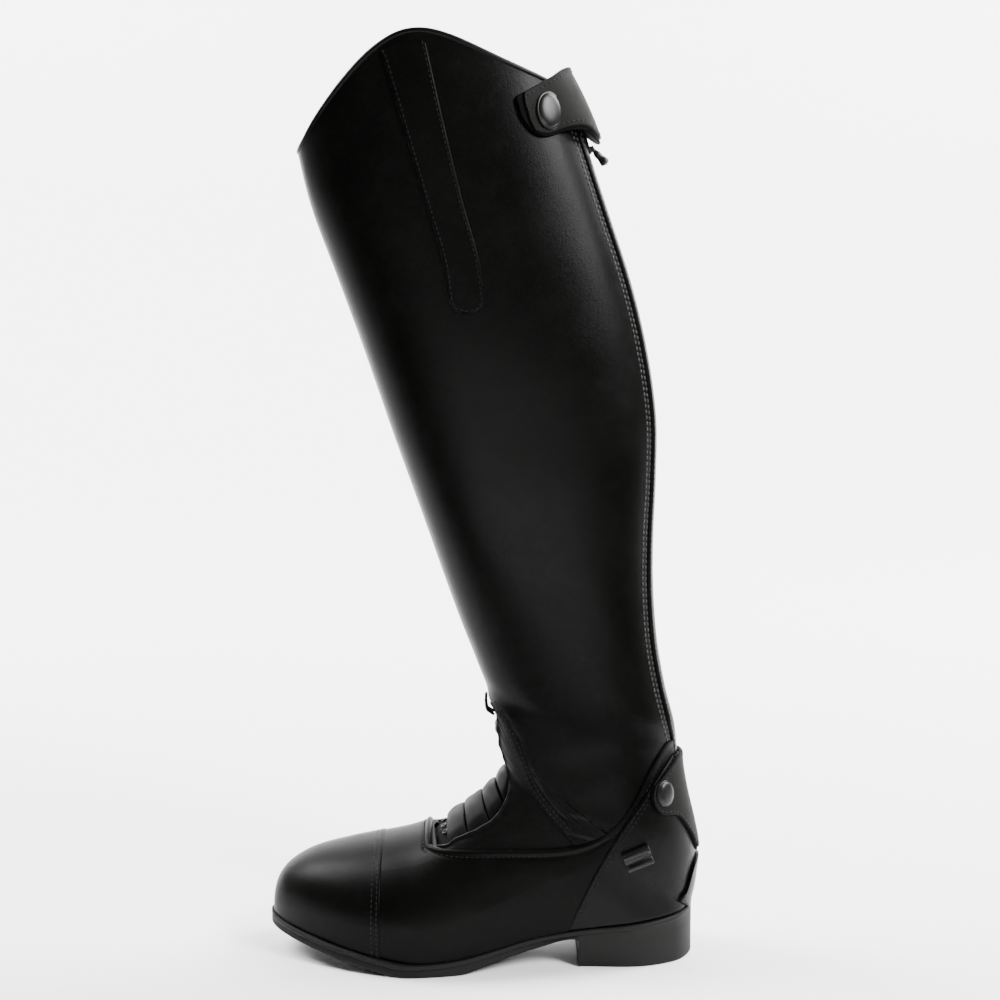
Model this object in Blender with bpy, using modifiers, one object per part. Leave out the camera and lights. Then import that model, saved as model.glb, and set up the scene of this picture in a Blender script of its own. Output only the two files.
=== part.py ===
"""A tall laced riding boot with a back zip, left foot.

Sizes are in millimetres and become metres when a mesh is made. X runs to the toe, Y to the outer side, Z up.
The upper is a sheet of planar sections, each from a base point B (feather line, then back seam) to a front
point F (ridge, then shin). Panels are cut from the same sheet at a small lift.
"""
import math
from collections import namedtuple

import bmesh
import bpy
from mathutils import Matrix, Vector

# Driving sizes
MM = 0.001
COLLECTION = "field_boot"
CUTTERS = "cutters"
SOLE_LENGTH = 262.0
INSET_REFERENCE = 40.0
FEATHER_INSET = 4.0
UPPER_WALL = 2.4

# Clearances between pieces
GAP = 0.4
FEATHER_GAP = 0.9
INNER_GAP = 0.9
TONGUE_GAP = 3.8
EYESTAY_GAP = 1.3
VAMP_GAP = 0.9
COUNTER_GAP = 0.7
PIPING_GAP = 0.9
LACE_CLEAR = 1.8
SEAM_TAU = 0.006
SEAM_ROW = 0.03

# Leather thicknesses
VAMP_LEATHER = 1.2
CAP_LEATHER = 2.2
COUNTER_LEATHER = 1.9
EYESTAY_LEATHER = 0.8
STRIP_LEATHER = 1.3
STAY_LEATHER = 1.4
TAB_LEATHER = 2.2
STRAP_LEATHER = 2.6
SPUR_REST_LEATHER = 1.9
TONGUE_LEATHER = 1.6

# Mesh fineness
COLUMNS = 9
TOE_STEP = 0.5
ROW_STEP = 1.0
WIDEST_COLUMN = 0.4
COLLAR_ROWS = 7
DIFFERENCE = 0.02
SOLVE_ROUNDS = 40
PLACE_ROUNDS = 60
TUBE_RESOLUTION = 2
TINY = 1e-3
WELD = 1e-6

# Sole and insole
HEEL_BREAST = 71.5
HEEL_TAPER = 0.97
SOLE_EDGE_BEVEL = 1.0
SOLE_STEP = 2.4
SOLE_STEP_DEPTH = 0.9
HEEL_STATIONS = (0.6, 2.5, 6.0, 12.0, 20.0, 32.0, 48.0, HEEL_BREAST - TINY, HEEL_BREAST)
WAIST_STATIONS = (86.0, 100.0, 113.0, 128.0, 144.0, 156.0, 168.0, 180.0)
TOE_STATIONS = (192.0, 204.0, 215.0, 226.0, 236.0, 245.0, 252.0, 257.0, 260.3, 261.6)
INSOLE_THICKNESS = 3.0
INSOLE_INSET = 8.5
INSOLE_ROWS = 20

# Foot panels
CAP_BASE = 0.02
COUNTER_START = 11.1
COUNTER_BASE = 0.03
COUNTER_END = 21.6
VAMP_END = 14.3
CROWN_COLUMNS = 4
NOTCH_ROWS = (7.75, 7.82, 7.9, 8.0, 8.2)
NOTCH_END = 8.5
EYESTAY_SEAM = 0.022
EYESTAY_START = 8.2
EYESTAY_END = 19.0
EYESTAY_COLUMNS = 6
TONGUE_LOW_HALF = 30.0
TONGUE_HIGH_HALF = 22.0
TONGUE_TURN = (12.0, 14.0)
TONGUE_REACH = 0.8
TONGUE_COLUMNS = 4

# Laces and eyelets
LACE_THICKNESS = 1.3
LACE_EDGES = (8.62, 9.4, 9.6, 10.4, 10.65, 11.5, 11.75, 12.5, 12.95, 13.85, 14.5, 15.9, 16.7, 17.7)
LACE_SPREAD = (1.0, 0.86, 0.45)
LACE_LIFT = -1.2
LOOP_RADIUS = 0.9
LOOP_HALF = 3.8
LOOP_LEG = 10.5
LOOP_LOW = 18.6
LOOP_ROWS = 0.115
LOOP_LIFT = 2.0
LOOP_REACH = 2.0
LOOP_STEPS = 16
EYELET_RADIUS = 2.2
EYELET_WIRE = 0.65
EYELET_SEGMENTS = 8
EYELET_SIDES = 4
EYELET_PLACES = ((8.28, 6.5), (8.36, 15.5))

# Collar piping and stay strip
PIPING_RADIUS = 1.9
STAY_LOW = 30.42
STAY_HIGH = 34.3
STAY_END = (0.45, 0.82, 0.97, 1.0)
STAY_ROWS = 9
STAY_COLUMNS = 4
STAY_EASE = 1.3

# Zip
ZIP_CHAIN_HALF = 3.2
ZIP_CHAIN_TOP = 0.6
ZIP_CHAIN_DEEP = 2.6
ZIP_TAPE_HALF = 14.0
ZIP_TAPE_THICKNESS = 0.9
ZIP_TAPE_COLUMNS = 3
ZIP_STRIP_WIDTH = 8.0
ZIP_STRIP_COLUMNS = 2
ZIP_TOP = 33.5
ZIP_TAPE_START = 22.5
SLIDER_ROW = 33.05
SLIDER_SIZE = (12.0, 7.6, 3.2)
SLIDER_BEVEL = 0.7
EAR_SIZE = (3.4, 1.0, 3.6)
EAR_OFFSET = 2.4
PULL_PIVOT = (3.4, 4.6)
PULL_ANGLE = 25.0
PULL_SHAPE = ((-1.0, 0.8), (0.0, 1.1), (2.0, 1.1), (3.5, 1.7), (7.0, 1.8), (9.4, 2.4), (11.2, 2.4),
              (12.6, 1.4))

# Straps, snaps and spur pieces; edges are drawn on the side view as (x, z)
TAB_ROWS = 4
STRAP_COLUMNS = 8
STRAP_LIFT = 2.2
STRAP_OVER_TOP = 4.0
STRAP_OVER_LOW = 8.8
STRAP_TOP_ROW = 34.0
STRAP_ROWS = 1.0
STRAP_FLAT = 10.0
STRAP_FALL = 22.0
STRAP_REACH = 0.24
STRAP_BOUNDS = (32.0, 35.0)
STRAP_LOW_EDGE = ((66.0, 485.0), (71.0, 490.5), (77.0, 496.5), (84.0, 496.5), (93.0, 493.5),
                  (100.5, 495.5), (106.5, 502.5), (111.0, 512.0))
STRAP_HIGH_EDGE = ((60.0, 538.0), (84.0, 534.0), (92.0, 527.5), (100.0, 522.0), (111.0, 515.5))
HEEL_TAB_COLUMNS = 6
TAB_LIFT = 2.9
TAB_REACH = 0.26
TAB_BOUNDS = (14.0, 23.0)
TAB_LOW_EDGE = ((1.0, 64.0), (5.0, 75.0), (9.0, 83.0), (14.0, 90.0), (22.0, 92.5), (29.0, 96.5),
                (34.0, 102.5))
TAB_HIGH_EDGE = ((8.0, 127.0), (14.0, 126.5), (19.0, 121.0), (26.0, 113.0), (34.0, 106.5))
REST_COLUMNS = 5
REST_REACH = 0.1
REST_BOUNDS = (14.0, 20.0)
REST_LOW_EDGE = ((0.0, 38.0), (6.0, 36.8), (12.0, 35.6), (20.0, 33.5))
REST_HIGH_EDGE = ((0.0, 62.0), (2.5, 60.0), (6.0, 51.0), (10.0, 42.5), (15.0, 36.0), (20.0, 33.5))
SNAP_RADIUS = 7.8
TOP_SNAP_RADIUS = 10.6
SNAP_HEIGHT = 2.6
SNAP_SEAT = 1.1
SNAP_PROFILE = ((0.0, 1.0), (0.45, 0.95), (0.8, 0.72), (0.96, 0.42), (1.0, 0.0), (0.0, 0.0))
SNAP_SEGMENTS = 16
TOP_SNAP_X = 95.0
TOP_SNAP_Z = 508.0
HEEL_SNAP_X = 22.5
HEEL_SNAP_Z = 106.0
LUG_X = 37.0
LUG_Z = 69.0
LUG_LENGTH = 16.0
LUG_TILT = 20.0
LUG_BEVEL = 0.6
LUG_PROFILE = ((-5.2, 0.0), (5.2, 0.0), (5.2, 2.2), (4.2, 3.4), (2.0, 3.4), (1.0, 1.8), (-1.0, 1.8),
               (-2.0, 3.4), (-4.2, 3.4), (-5.2, 2.2))

# The sole from heel to toe: middle line, half width, feather height and tread height
SoleRow = namedtuple("SoleRow", "x centre half feather tread")
SOLE = (
    SoleRow(0.0, 0.0, 0.0, 32.0, 0.0),
    SoleRow(12.0, 0.0, 24.5, 29.5, 0.0),
    SoleRow(35.0, 0.3, 33.0, 26.8, 0.0),
    SoleRow(70.0, 2.0, 31.0, 23.0, 17.0),
    SoleRow(100.0, 4.0, 31.0, 18.0, 11.6),
    SoleRow(124.0, 4.5, 36.2, 12.4, 5.0),
    SoleRow(144.0, 4.2, 42.0, 8.8, 0.0),
    SoleRow(165.0, 3.5, 46.0, 7.5, 0.0),
    SoleRow(180.0, 2.4, 46.8, 8.0, 0.0),
    SoleRow(215.0, -2.0, 40.5, 14.0, 6.4),
    SoleRow(240.0, -5.0, 29.5, 19.0, 11.8),
    SoleRow(254.0, -6.0, 18.5, 22.0, 14.8),
    SoleRow(262.0, -6.0, 0.0, 23.4, 16.4),
)

# Foot sections from toe to heel: B on the feather line, F on the ridge, half widths at the widest point
FootRow = namedtuple("FootRow", "base_x front_x front_z half_out half_in widest top low ridge")
FOOT = (
    FootRow(256.6, 256.6, 37.5, 2.5, 14.5, 0.40, 2.0, 1.1, -6.0),
    FootRow(252.5, 252.5, 46.5, 9.6, 22.5, 0.40, 2.0, 1.1, -6.0),
    FootRow(245.0, 245.0, 53.5, 17.2, 28.5, 0.38, 2.0, 1.1, -6.0),
    FootRow(232.0, 232.0, 60.0, 26.6, 35.0, 0.36, 2.0, 1.1, -6.0),
    FootRow(212.0, 212.0, 65.2, 37.2, 40.8, 0.34, 2.0, 1.1, -6.0),
    FootRow(190.0, 190.0, 69.8, 44.6, 43.2, 0.33, 2.0, 1.1, -6.0),
    FootRow(170.0, 171.0, 74.6, 47.3, 42.0, 0.33, 2.0, 1.1, -5.0),
    FootRow(150.0, 158.0, 80.6, 45.8, 39.0, 0.33, 2.1, 1.1, -4.0),
    FootRow(128.0, 146.0, 89.6, 41.0, 35.5, 0.33, 2.2, 1.1, -3.0),
    FootRow(104.0, 135.0, 98.0, 36.6, 33.0, 0.34, 2.3, 1.1, -2.0),
    FootRow(80.0, 126.0, 106.0, 34.2, 32.0, 0.36, 2.3, 1.1, -1.0),
    FootRow(56.0, 119.0, 114.5, 33.0, 31.6, 0.38, 2.3, 1.1, 0.0),
    FootRow(34.0, 116.6, 120.0, 32.4, 31.5, 0.40, 2.3, 1.1, 0.0),
    FootRow(16.0, 118.6, 126.5, 32.1, 31.5, 0.41, 2.3, 1.3, 0.0),
    FootRow(7.4, 120.0, 130.5, 32.0, 31.5, 0.42, 2.3, 1.6, 0.0),
)

# Leg sections from heel to collar: B on the back seam, F on the shin, half widths, zip gap and seam offset
LegRow = namedtuple("LegRow", "back_x back_z front_x front_z half_out half_in widest top low seam gap")
LEG = (
    LegRow(4.0, 36.0, 121.0, 134.0, 32.0, 31.5, 0.42, 2.3, 2.0, 0.0, 0.0),
    LegRow(1.6, 50.0, 122.3, 139.0, 32.5, 32.0, 0.42, 2.3, 2.0, 0.0, 0.0),
    LegRow(0.6, 66.0, 123.5, 145.0, 32.5, 32.0, 0.42, 2.3, 2.0, 0.0, 0.0),
    LegRow(3.4, 82.0, 124.7, 152.0, 32.0, 31.5, 0.43, 2.3, 2.0, 0.0, 0.0),
    LegRow(7.8, 100.0, 125.9, 160.0, 31.5, 31.0, 0.44, 2.3, 2.0, 0.5, 0.0),
    LegRow(11.0, 117.0, 127.5, 168.0, 31.5, 31.0, 0.45, 2.2, 2.0, 2.0, 0.0),
    LegRow(12.4, 131.0, 131.0, 177.0, 32.0, 31.5, 0.46, 2.2, 2.0, 4.0, 0.0),
    LegRow(14.8, 147.0, 136.0, 190.0, 32.5, 32.0, 0.47, 2.2, 2.0, 5.5, 9.0),
    LegRow(20.8, 170.0, 143.0, 208.0, 33.0, 33.0, 0.48, 2.2, 2.1, 6.0, 9.0),
    LegRow(25.8, 198.0, 152.0, 233.0, 34.0, 34.0, 0.49, 2.2, 2.1, 6.0, 9.0),
    LegRow(28.4, 230.0, 162.0, 262.0, 35.5, 35.5, 0.50, 2.2, 2.1, 5.0, 9.0),
    LegRow(28.6, 262.0, 171.5, 289.0, 36.5, 36.5, 0.50, 2.2, 2.1, 4.0, 9.0),
    LegRow(27.4, 296.0, 182.5, 320.0, 37.5, 37.5, 0.50, 2.2, 2.1, 3.0, 9.0),
    LegRow(27.6, 332.0, 193.0, 351.0, 38.0, 38.0, 0.50, 2.2, 2.1, 2.5, 9.0),
    LegRow(33.5, 372.0, 204.0, 383.0, 38.5, 38.5, 0.50, 2.2, 2.1, 2.0, 9.0),
    LegRow(43.5, 412.0, 216.0, 416.0, 38.5, 38.5, 0.50, 2.2, 2.1, 2.0, 9.0),
    LegRow(57.0, 452.0, 230.5, 456.0, 38.5, 38.5, 0.50, 2.2, 2.1, 2.0, 9.0),
    LegRow(69.5, 489.0, 238.5, 490.0, 38.5, 38.5, 0.50, 2.2, 2.1, 2.0, 9.0),
    LegRow(83.0, 530.0, 247.0, 534.0, 38.5, 38.5, 0.50, 2.2, 2.1, 2.0, 9.0),
    LegRow(93.0, 566.0, 252.0, 572.0, 38.5, 38.5, 0.50, 2.2, 2.1, 2.0, 9.0),
)

# Edges drawn on the side view, as (x, z)
COLLAR_OUT = ((60.0, 516.0), (85.0, 521.0), (96.0, 525.0), (119.0, 534.0), (141.0, 543.5), (154.0, 548.0),
              (165.0, 549.5), (176.0, 547.0), (188.0, 540.0), (199.0, 530.5), (211.0, 517.5), (224.0, 501.5),
              (237.0, 484.5), (250.0, 480.0))
COLLAR_IN = ((60.0, 517.0), (85.0, 521.0), (125.0, 511.0), (170.0, 500.0), (210.0, 490.0), (237.0, 484.5),
             (250.0, 484.0))
COUNTER_SEAM = ((80.0, 15.0), (77.5, 24.0), (70.0, 43.0), (61.0, 62.0), (47.0, 86.0), (33.0, 106.0),
                (17.0, 126.0), (4.0, 140.0))
VAMP_TOP = ((18.0, 136.0), (25.0, 127.5), (31.0, 118.0), (37.7, 105.5), (46.0, 93.5), (54.9, 85.2),
            (66.0, 78.5), (77.7, 75.3), (90.0, 74.0), (120.0, 73.5), (146.0, 72.6), (155.0, 72.2),
            (166.0, 73.0))
SHAFT_EDGE = ((66.0, 67.5), (75.0, 77.0), (83.3, 85.5), (92.4, 94.8), (101.5, 105.9), (104.8, 118.6),
              (107.5, 126.9), (111.3, 136.0), (116.8, 146.0), (120.0, 151.6), (128.0, 164.0))
THROAT_EDGE = ((163.0, 72.4), (152.5, 74.6), (144.8, 79.2), (134.6, 83.9), (124.4, 90.0), (119.0, 96.0),
               (115.1, 103.1), (113.6, 110.5), (114.6, 118.5), (116.5, 125.0), (119.0, 132.2),
               (119.9, 138.0), (120.8, 146.0), (121.4, 154.0), (127.5, 162.0))
STAY_BACK = ((127.5, 403.0), (131.0, 425.0), (140.0, 455.0), (152.0, 500.0), (165.0, 549.0))
STAY_FRONT = ((148.5, 403.0), (152.0, 425.0), (161.0, 455.0), (173.0, 500.0), (186.0, 549.0))

# Named places along the table of sections (row numbers; the toe tip is row zero)
FOOT_END = len(FOOT)
CAP_SEAM = 6.0
THROAT_START = 7.75
THROAT_OPEN = 7.95
THROAT_END = FOOT_END + 5.2
SHEAR_START = FOOT_END + 14.0
HEEL_CLOSED = FOOT_END + 1.0
ZIP_START = FOOT_END + 7.0
ZIP_OPEN = FOOT_END + 8.0
COLLAR_LIMIT = FOOT_END + len(LEG)

OUT = 1
IN = -1
SIDES = (OUT, IN)


def spline(values, s):
    """Smooth curve through evenly numbered values."""
    last = len(values) - 1
    i = min(max(int(math.floor(s)), 0), last - 1)
    u = s - i
    p1 = values[i]
    p2 = values[i + 1]
    p0 = values[max(i - 1, 0)]
    p3 = values[min(i + 2, last)]
    m1 = (p2 - p0) / 2
    m2 = (p3 - p1) / 2
    a = 2 * u ** 3 - 3 * u ** 2 + 1
    b = u ** 3 - 2 * u ** 2 + u
    c = -2 * u ** 3 + 3 * u ** 2
    d = u ** 3 - u ** 2
    return a * p1 + b * m1 + c * p2 + d * m2


def curve_at(xs, ys, x):
    """Smooth curve through (x, y) points with rising x, level beyond both ends."""
    if x <= xs[0]:
        return ys[0]
    if x >= xs[-1]:
        return ys[-1]
    i = max(k for k in range(len(xs) - 1) if xs[k] <= x)

    def slope(k):
        if k in (0, len(xs) - 1):
            near = 1 if k == 0 else k
            return (ys[near] - ys[near - 1]) / (xs[near] - xs[near - 1])
        return (ys[k + 1] - ys[k - 1]) / (xs[k + 1] - xs[k - 1])

    h = xs[i + 1] - xs[i]
    u = (x - xs[i]) / h
    a = 2 * u ** 3 - 3 * u ** 2 + 1
    b = (u ** 3 - 2 * u ** 2 + u) * h
    c = -2 * u ** 3 + 3 * u ** 2
    d = (u ** 3 - u ** 2) * h
    return a * ys[i] + b * slope(i) + c * ys[i + 1] + d * slope(i + 1)


def ease(u):
    u = min(max(u, 0.0), 1.0)
    return u * u * (3 - 2 * u)


def sole_value(x, name):
    return curve_at([row.x for row in SOLE], [getattr(row, name) for row in SOLE], x)


def plan(x, inset):
    """Middle line and half width of the sole's outline drawn smaller by the inset."""
    grown = (x - inset) * SOLE_LENGTH / (SOLE_LENGTH - 2 * inset)
    grown = min(max(grown, 0.0), SOLE_LENGTH)
    squared = curve_at([row.x for row in SOLE], [row.half ** 2 for row in SOLE], grown)
    half = math.sqrt(max(squared, 0.0)) * (1 - inset / INSET_REFERENCE)
    return sole_value(grown, "centre"), half


Section = namedtuple("Section", "bx bz fx fz fy base_out base_in half_out half_in widest top low seam gap")


def foot_section(row):
    centre, half = plan(row.base_x, FEATHER_INSET)
    z = sole_value(row.base_x, "feather") + FEATHER_GAP
    out = centre + half
    inner = half - centre
    return Section(row.base_x, z, row.front_x, row.front_z, row.ridge, out, inner, row.half_out, row.half_in,
                   row.widest, row.top, row.low, 0.0, 0.0)


def leg_section(row):
    return Section(row.back_x, row.back_z, row.front_x, row.front_z, 0.0, row.seam, -row.seam, row.half_out,
                   row.half_in, row.widest, row.top, row.low, row.seam, row.gap / 2)


def toe_tip():
    x = SOLE_LENGTH - FEATHER_INSET
    z = sole_value(x, "feather") + FEATHER_GAP
    y = plan(x, FEATHER_INSET)[0]
    first = foot_section(FOOT[0])
    return first._replace(bx=x, bz=z, fx=x, fz=z, fy=y, base_out=y, base_in=-y, half_out=y, half_in=-y)


SECTIONS = [toe_tip()] + [foot_section(row) for row in FOOT] + [leg_section(row) for row in LEG]
FIELDS = {name: [getattr(row, name) for row in SECTIONS] for name in Section._fields}


def point(s, side, tau, bridged=False):
    """Point of the upper's outer surface: section s, side, and tau from the base (0) to the ridge (1)."""
    at = {name: spline(values, s) for name, values in FIELDS.items()}
    gap = 0.0 if bridged or s <= ZIP_START else at["gap"]
    base = (at["base_out"] if side == OUT else at["base_in"]) + gap
    half = at["half_out"] if side == OUT else at["half_in"]
    ridge = at["fy"] * side
    if HEEL_CLOSED <= s <= ZIP_START:
        base = at["seam"] * side
    if tau < WIDEST_COLUMN:
        angle = (1 - tau / WIDEST_COLUMN) * math.pi / 2
        eta = at["widest"] * (1 - math.sin(angle) ** (2 / at["low"]))
        y = base + (half - base) * max(math.cos(angle), 0.0) ** (2 / at["low"])
    else:
        angle = (tau - WIDEST_COLUMN) / (1 - WIDEST_COLUMN) * math.pi / 2
        eta = at["widest"] + (1 - at["widest"]) * math.sin(angle) ** (2 / at["top"])
        y = ridge + (half - ridge) * max(math.cos(angle), 0.0) ** (2 / at["top"])
    x = at["bx"] + (at["fx"] - at["bx"]) * eta
    z = at["bz"] + (at["fz"] - at["bz"]) * eta
    return Vector((x, y * side, z))


def normal(s, side, tau, bridged=False):
    """Outward direction of the surface."""
    if s < TINY:
        return Vector((1, 0, 0))
    step = DIFFERENCE
    closed = s >= HEEL_CLOSED and (bridged or s <= ZIP_START)
    along = point(s + step, side, tau, bridged) - point(s - step, side, tau, bridged)
    if tau > 1 - step:
        across = point(s, -side, 1 - step, bridged) - point(s, side, 1 - step, bridged)
        along = point(s + step, side, 1, bridged) - point(s - step, side, 1, bridged)
    elif tau < step and closed:
        across = point(s, side, step, bridged) - point(s, -side, step, bridged)
        along = point(s + step, side, 0, bridged) - point(s - step, side, 0, bridged)
    else:
        low = max(tau - step, 0)
        across = point(s, side, tau + step, bridged) - point(s, side, low, bridged)
    return (along.cross(across) * side).normalized()


def lifted(place, lift):
    """Point on the surface moved out along its normal."""
    return point(*place) + normal(*place) * lift


def solve(test, low, high):
    """Value between low and high where the test turns from negative to positive."""
    for _ in range(SOLVE_ROUNDS):
        middle = (low + high) / 2
        if test(middle) < 0:
            low = middle
        else:
            high = middle
    return (low + high) / 2


def tau_ahead_of(s, side, edge, bridged=False):
    """Tau where section s passes an edge given as x for each z."""
    zs = [p[1] for p in edge]
    xs = [p[0] for p in edge]

    def test(tau):
        p = point(s, side, tau, bridged)
        return p.x - curve_at(zs, xs, p.z)

    return solve(test, 0.0, 1.0)


def tau_above(s, side, edge):
    """Tau where section s passes an edge given as z for each x."""
    xs = [p[0] for p in edge]
    zs = [p[1] for p in edge]

    def test(tau):
        p = point(s, side, tau)
        return p.z - curve_at(xs, zs, p.x)

    return solve(test, 0.0, 1.0)


def tau_beside_ridge(s, side, half):
    """Tau at a sideways distance from the ridge."""
    ridge = spline(FIELDS["fy"], s)

    def test(tau):
        return half - (point(s, side, tau).y - ridge) * side

    return solve(test, WIDEST_COLUMN, 1.0)


def tau_from_base(s, side, distance, bridged=False):
    """Tau at a distance round the section from its base."""
    start = point(s, side, 0.0, bridged)

    def test(tau):
        return (point(s, side, tau, bridged) - start).length - distance

    return solve(test, 0.0, WIDEST_COLUMN)


def throat_tau(s, side):
    """Edge of the laced opening on one side; the ridge where the opening has closed."""
    if s <= THROAT_START or s >= THROAT_END:
        return 1.0
    opening = min((s - THROAT_START) / (THROAT_OPEN - THROAT_START), 1.0)
    return 1.0 - (1.0 - tau_ahead_of(s, side, THROAT_EDGE)) * opening


def throat_half(s, side):
    """Sideways distance from the ridge to the edge of the laced opening."""
    return (point(s, side, throat_tau(s, side)).y - spline(FIELDS["fy"], s)) * side


def collar_s(side, tau):
    """Section number where a column meets the collar."""
    edge = COLLAR_OUT if side == OUT else COLLAR_IN
    xs = [p[0] for p in edge]
    zs = [p[1] for p in edge]

    def test(s):
        p = point(s, side, tau)
        return p.z - curve_at(xs, zs, p.x)

    return solve(test, SHEAR_START + 1, COLLAR_LIMIT)


def steps(low, high, count):
    return [low + (high - low) * i / count for i in range(count + 1)]


def row_numbers(low, high):
    """Section numbers from low to high, with both ends, closer together on the toe."""
    inner = [k * TOE_STEP for k in range(int(CAP_SEAM / TOE_STEP))]
    inner += [CAP_SEAM + k * ROW_STEP for k in range(COLLAR_LIMIT)]
    margin = TOE_STEP / 4
    return [low] + [s for s in inner if low + margin < s < high - margin] + [high]


# Materials and mesh helpers


def make_material(name, colour, roughness, metallic=0.0):
    material = bpy.data.materials.new(name)
    material.use_nodes = True
    shader = material.node_tree.nodes["Principled BSDF"]
    shader.inputs["Base Color"].default_value = (*colour, 1.0)
    shader.inputs["Roughness"].default_value = roughness
    shader.inputs["Metallic"].default_value = metallic
    return material


def add_object(name, mesh, material):
    obj = bpy.data.objects.new(name, mesh)
    mesh.materials.append(material)
    bpy.data.collections[COLLECTION].objects.link(obj)
    obj.parent = bpy.data.objects["boot_frame"]
    return obj


def finish_mesh(bm, name):
    bmesh.ops.remove_doubles(bm, verts=bm.verts, dist=WELD)
    mesh = bpy.data.meshes.new(name)
    bm.to_mesh(mesh)
    bm.free()
    mesh.shade_smooth()
    return mesh


def add_sheet(name, wings, lift, thickness, material, skip=None, outward=True):
    """Open sheet through grids of surface places, thickened away from the lift."""
    bm = bmesh.new()
    facing = {}
    for wing in wings:
        grid = []
        for row in wing:
            lifts = [lift(place) if callable(lift) else lift for place in row]
            grid.append([bm.verts.new(lifted(place, high) * MM) for place, high in zip(row, lifts)])
        for i in range(len(grid) - 1):
            for j in range(len(grid[i]) - 1):
                if skip and skip(i, j):
                    continue
                corners = (grid[i][j], grid[i][j + 1], grid[i + 1][j + 1], grid[i + 1][j])
                face = bm.faces.new(corners)
                facing[face] = normal(*wing[i][j])
    for face, outside in facing.items():
        face.normal_update()
        if face.normal.dot(outside) < 0:
            face.normal_flip()
    obj = add_object(name, finish_mesh(bm, name), material)
    wall = obj.modifiers.new("wall", "SOLIDIFY")
    wall.thickness = thickness * MM
    wall.offset = 1.0 if outward else -1.0
    wall.use_quality_normals = True
    return obj


def add_loft(name, rings, material):
    """Closed solid through rings of equal length, capped at both ends."""
    bm = bmesh.new()
    loops = [[bm.verts.new(Vector(p) * MM) for p in ring] for ring in rings]
    count = len(loops[0])
    for a, b in zip(loops, loops[1:]):
        for j in range(count):
            k = (j + 1) % count
            bm.faces.new((a[j], a[k], b[k], b[j]))
    bm.faces.new(loops[0][::-1])
    bm.faces.new(loops[-1])
    bmesh.ops.remove_doubles(bm, verts=bm.verts, dist=WELD)
    bmesh.ops.recalc_face_normals(bm, faces=bm.faces)
    return add_object(name, finish_mesh(bm, name), material)


def add_tube(name, points, radius, material, radii=None):
    """Round tube along points, with filled ends."""
    curve = bpy.data.curves.new(name, "CURVE")
    curve.dimensions = "3D"
    curve.bevel_depth = radius * MM
    curve.bevel_resolution = TUBE_RESOLUTION
    curve.use_fill_caps = True
    line = curve.splines.new("POLY")
    line.points.add(len(points) - 1)
    for i, p in enumerate(points):
        line.points[i].co = (*(Vector(p) * MM), 1.0)
        line.points[i].radius = radii[i] if radii else 1.0
    obj = bpy.data.objects.new(name, curve)
    curve.materials.append(material)
    bpy.data.collections[COLLECTION].objects.link(obj)
    obj.parent = bpy.data.objects["boot_frame"]
    return obj


def turned_to(place, lift):
    """Matrix whose Z axis is the surface's outward direction and whose X axis lies level."""
    out = normal(*place)
    level = Vector((0, 0, 1)).cross(out).normalized()
    up = out.cross(level)
    turn = Matrix((level, up, out)).transposed().to_4x4()
    return Matrix.Translation(lifted(place, lift) * MM) @ turn


# Pieces


def add_outsole(material):
    """Moulded sole with its heel block, lofted from heel to toe with a stepped edge."""
    rings = []
    for x in HEEL_STATIONS + WAIST_STATIONS + TOE_STATIONS:
        centre, half = plan(x, 0.0)
        top = sole_value(x, "feather")
        heel = x < HEEL_BREAST
        low = 0.0 if heel else max(sole_value(x, "tread"), 0.0)
        taper = HEEL_TAPER if heel else 1.0
        waist = top - SOLE_STEP
        ring = []
        for side in SIDES:
            edge = half * side
            inner = (half - min(SOLE_STEP_DEPTH, half / 2)) * side
            foot = (half * taper - min(SOLE_EDGE_BEVEL, half / 2)) * side
            chain = [(x, centre + inner, top), (x, centre + edge, top - SOLE_EDGE_BEVEL),
                     (x, centre + edge, waist), (x, centre + inner, waist - SOLE_STEP_DEPTH),
                     (x, centre + edge * taper, low + SOLE_EDGE_BEVEL), (x, centre + foot, low)]
            ring += chain if side == OUT else chain[::-1]
        rings.append(ring)
    return add_loft("outsole", rings, material)


def add_insole(material):
    rings = []
    for x in steps(INSOLE_INSET + 1, SOLE_LENGTH - INSOLE_INSET - 1, INSOLE_ROWS):
        centre, half = plan(x, INSOLE_INSET)
        low = sole_value(x, "feather") + GAP
        top = low + INSOLE_THICKNESS
        rings.append([(x, centre + half, top), (x, centre + half, low), (x, centre - half, low),
                      (x, centre - half, top)])
    return add_loft("insole", rings, material)


def upper_rows():
    """Section numbers of the upper, sheared to the collar above the calf."""
    return sorted(set(row_numbers(0.0, SHEAR_START) + [THROAT_START, THROAT_OPEN, NOTCH_END, THROAT_END]))


def add_upper(material):
    """Hollow wall of foot and shaft, open at collar, throat, zip and base."""
    wings = []
    for side in SIDES:
        wing = []
        for s in upper_rows():
            wing.append([(s, side, tau) for tau in steps(0.0, throat_tau(s, side), COLUMNS)])
        tops = {tau: collar_s(side, tau) for tau in steps(0.0, 1.0, COLUMNS)}
        for k in range(1, COLLAR_ROWS + 1):
            share = k / COLLAR_ROWS
            wing.append([(SHEAR_START + (top - SHEAR_START) * share, side, tau) for tau, top in tops.items()])
        wings.append(wing)
    return add_sheet("upper", wings, 0.0, UPPER_WALL, material, outward=False)


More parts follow.
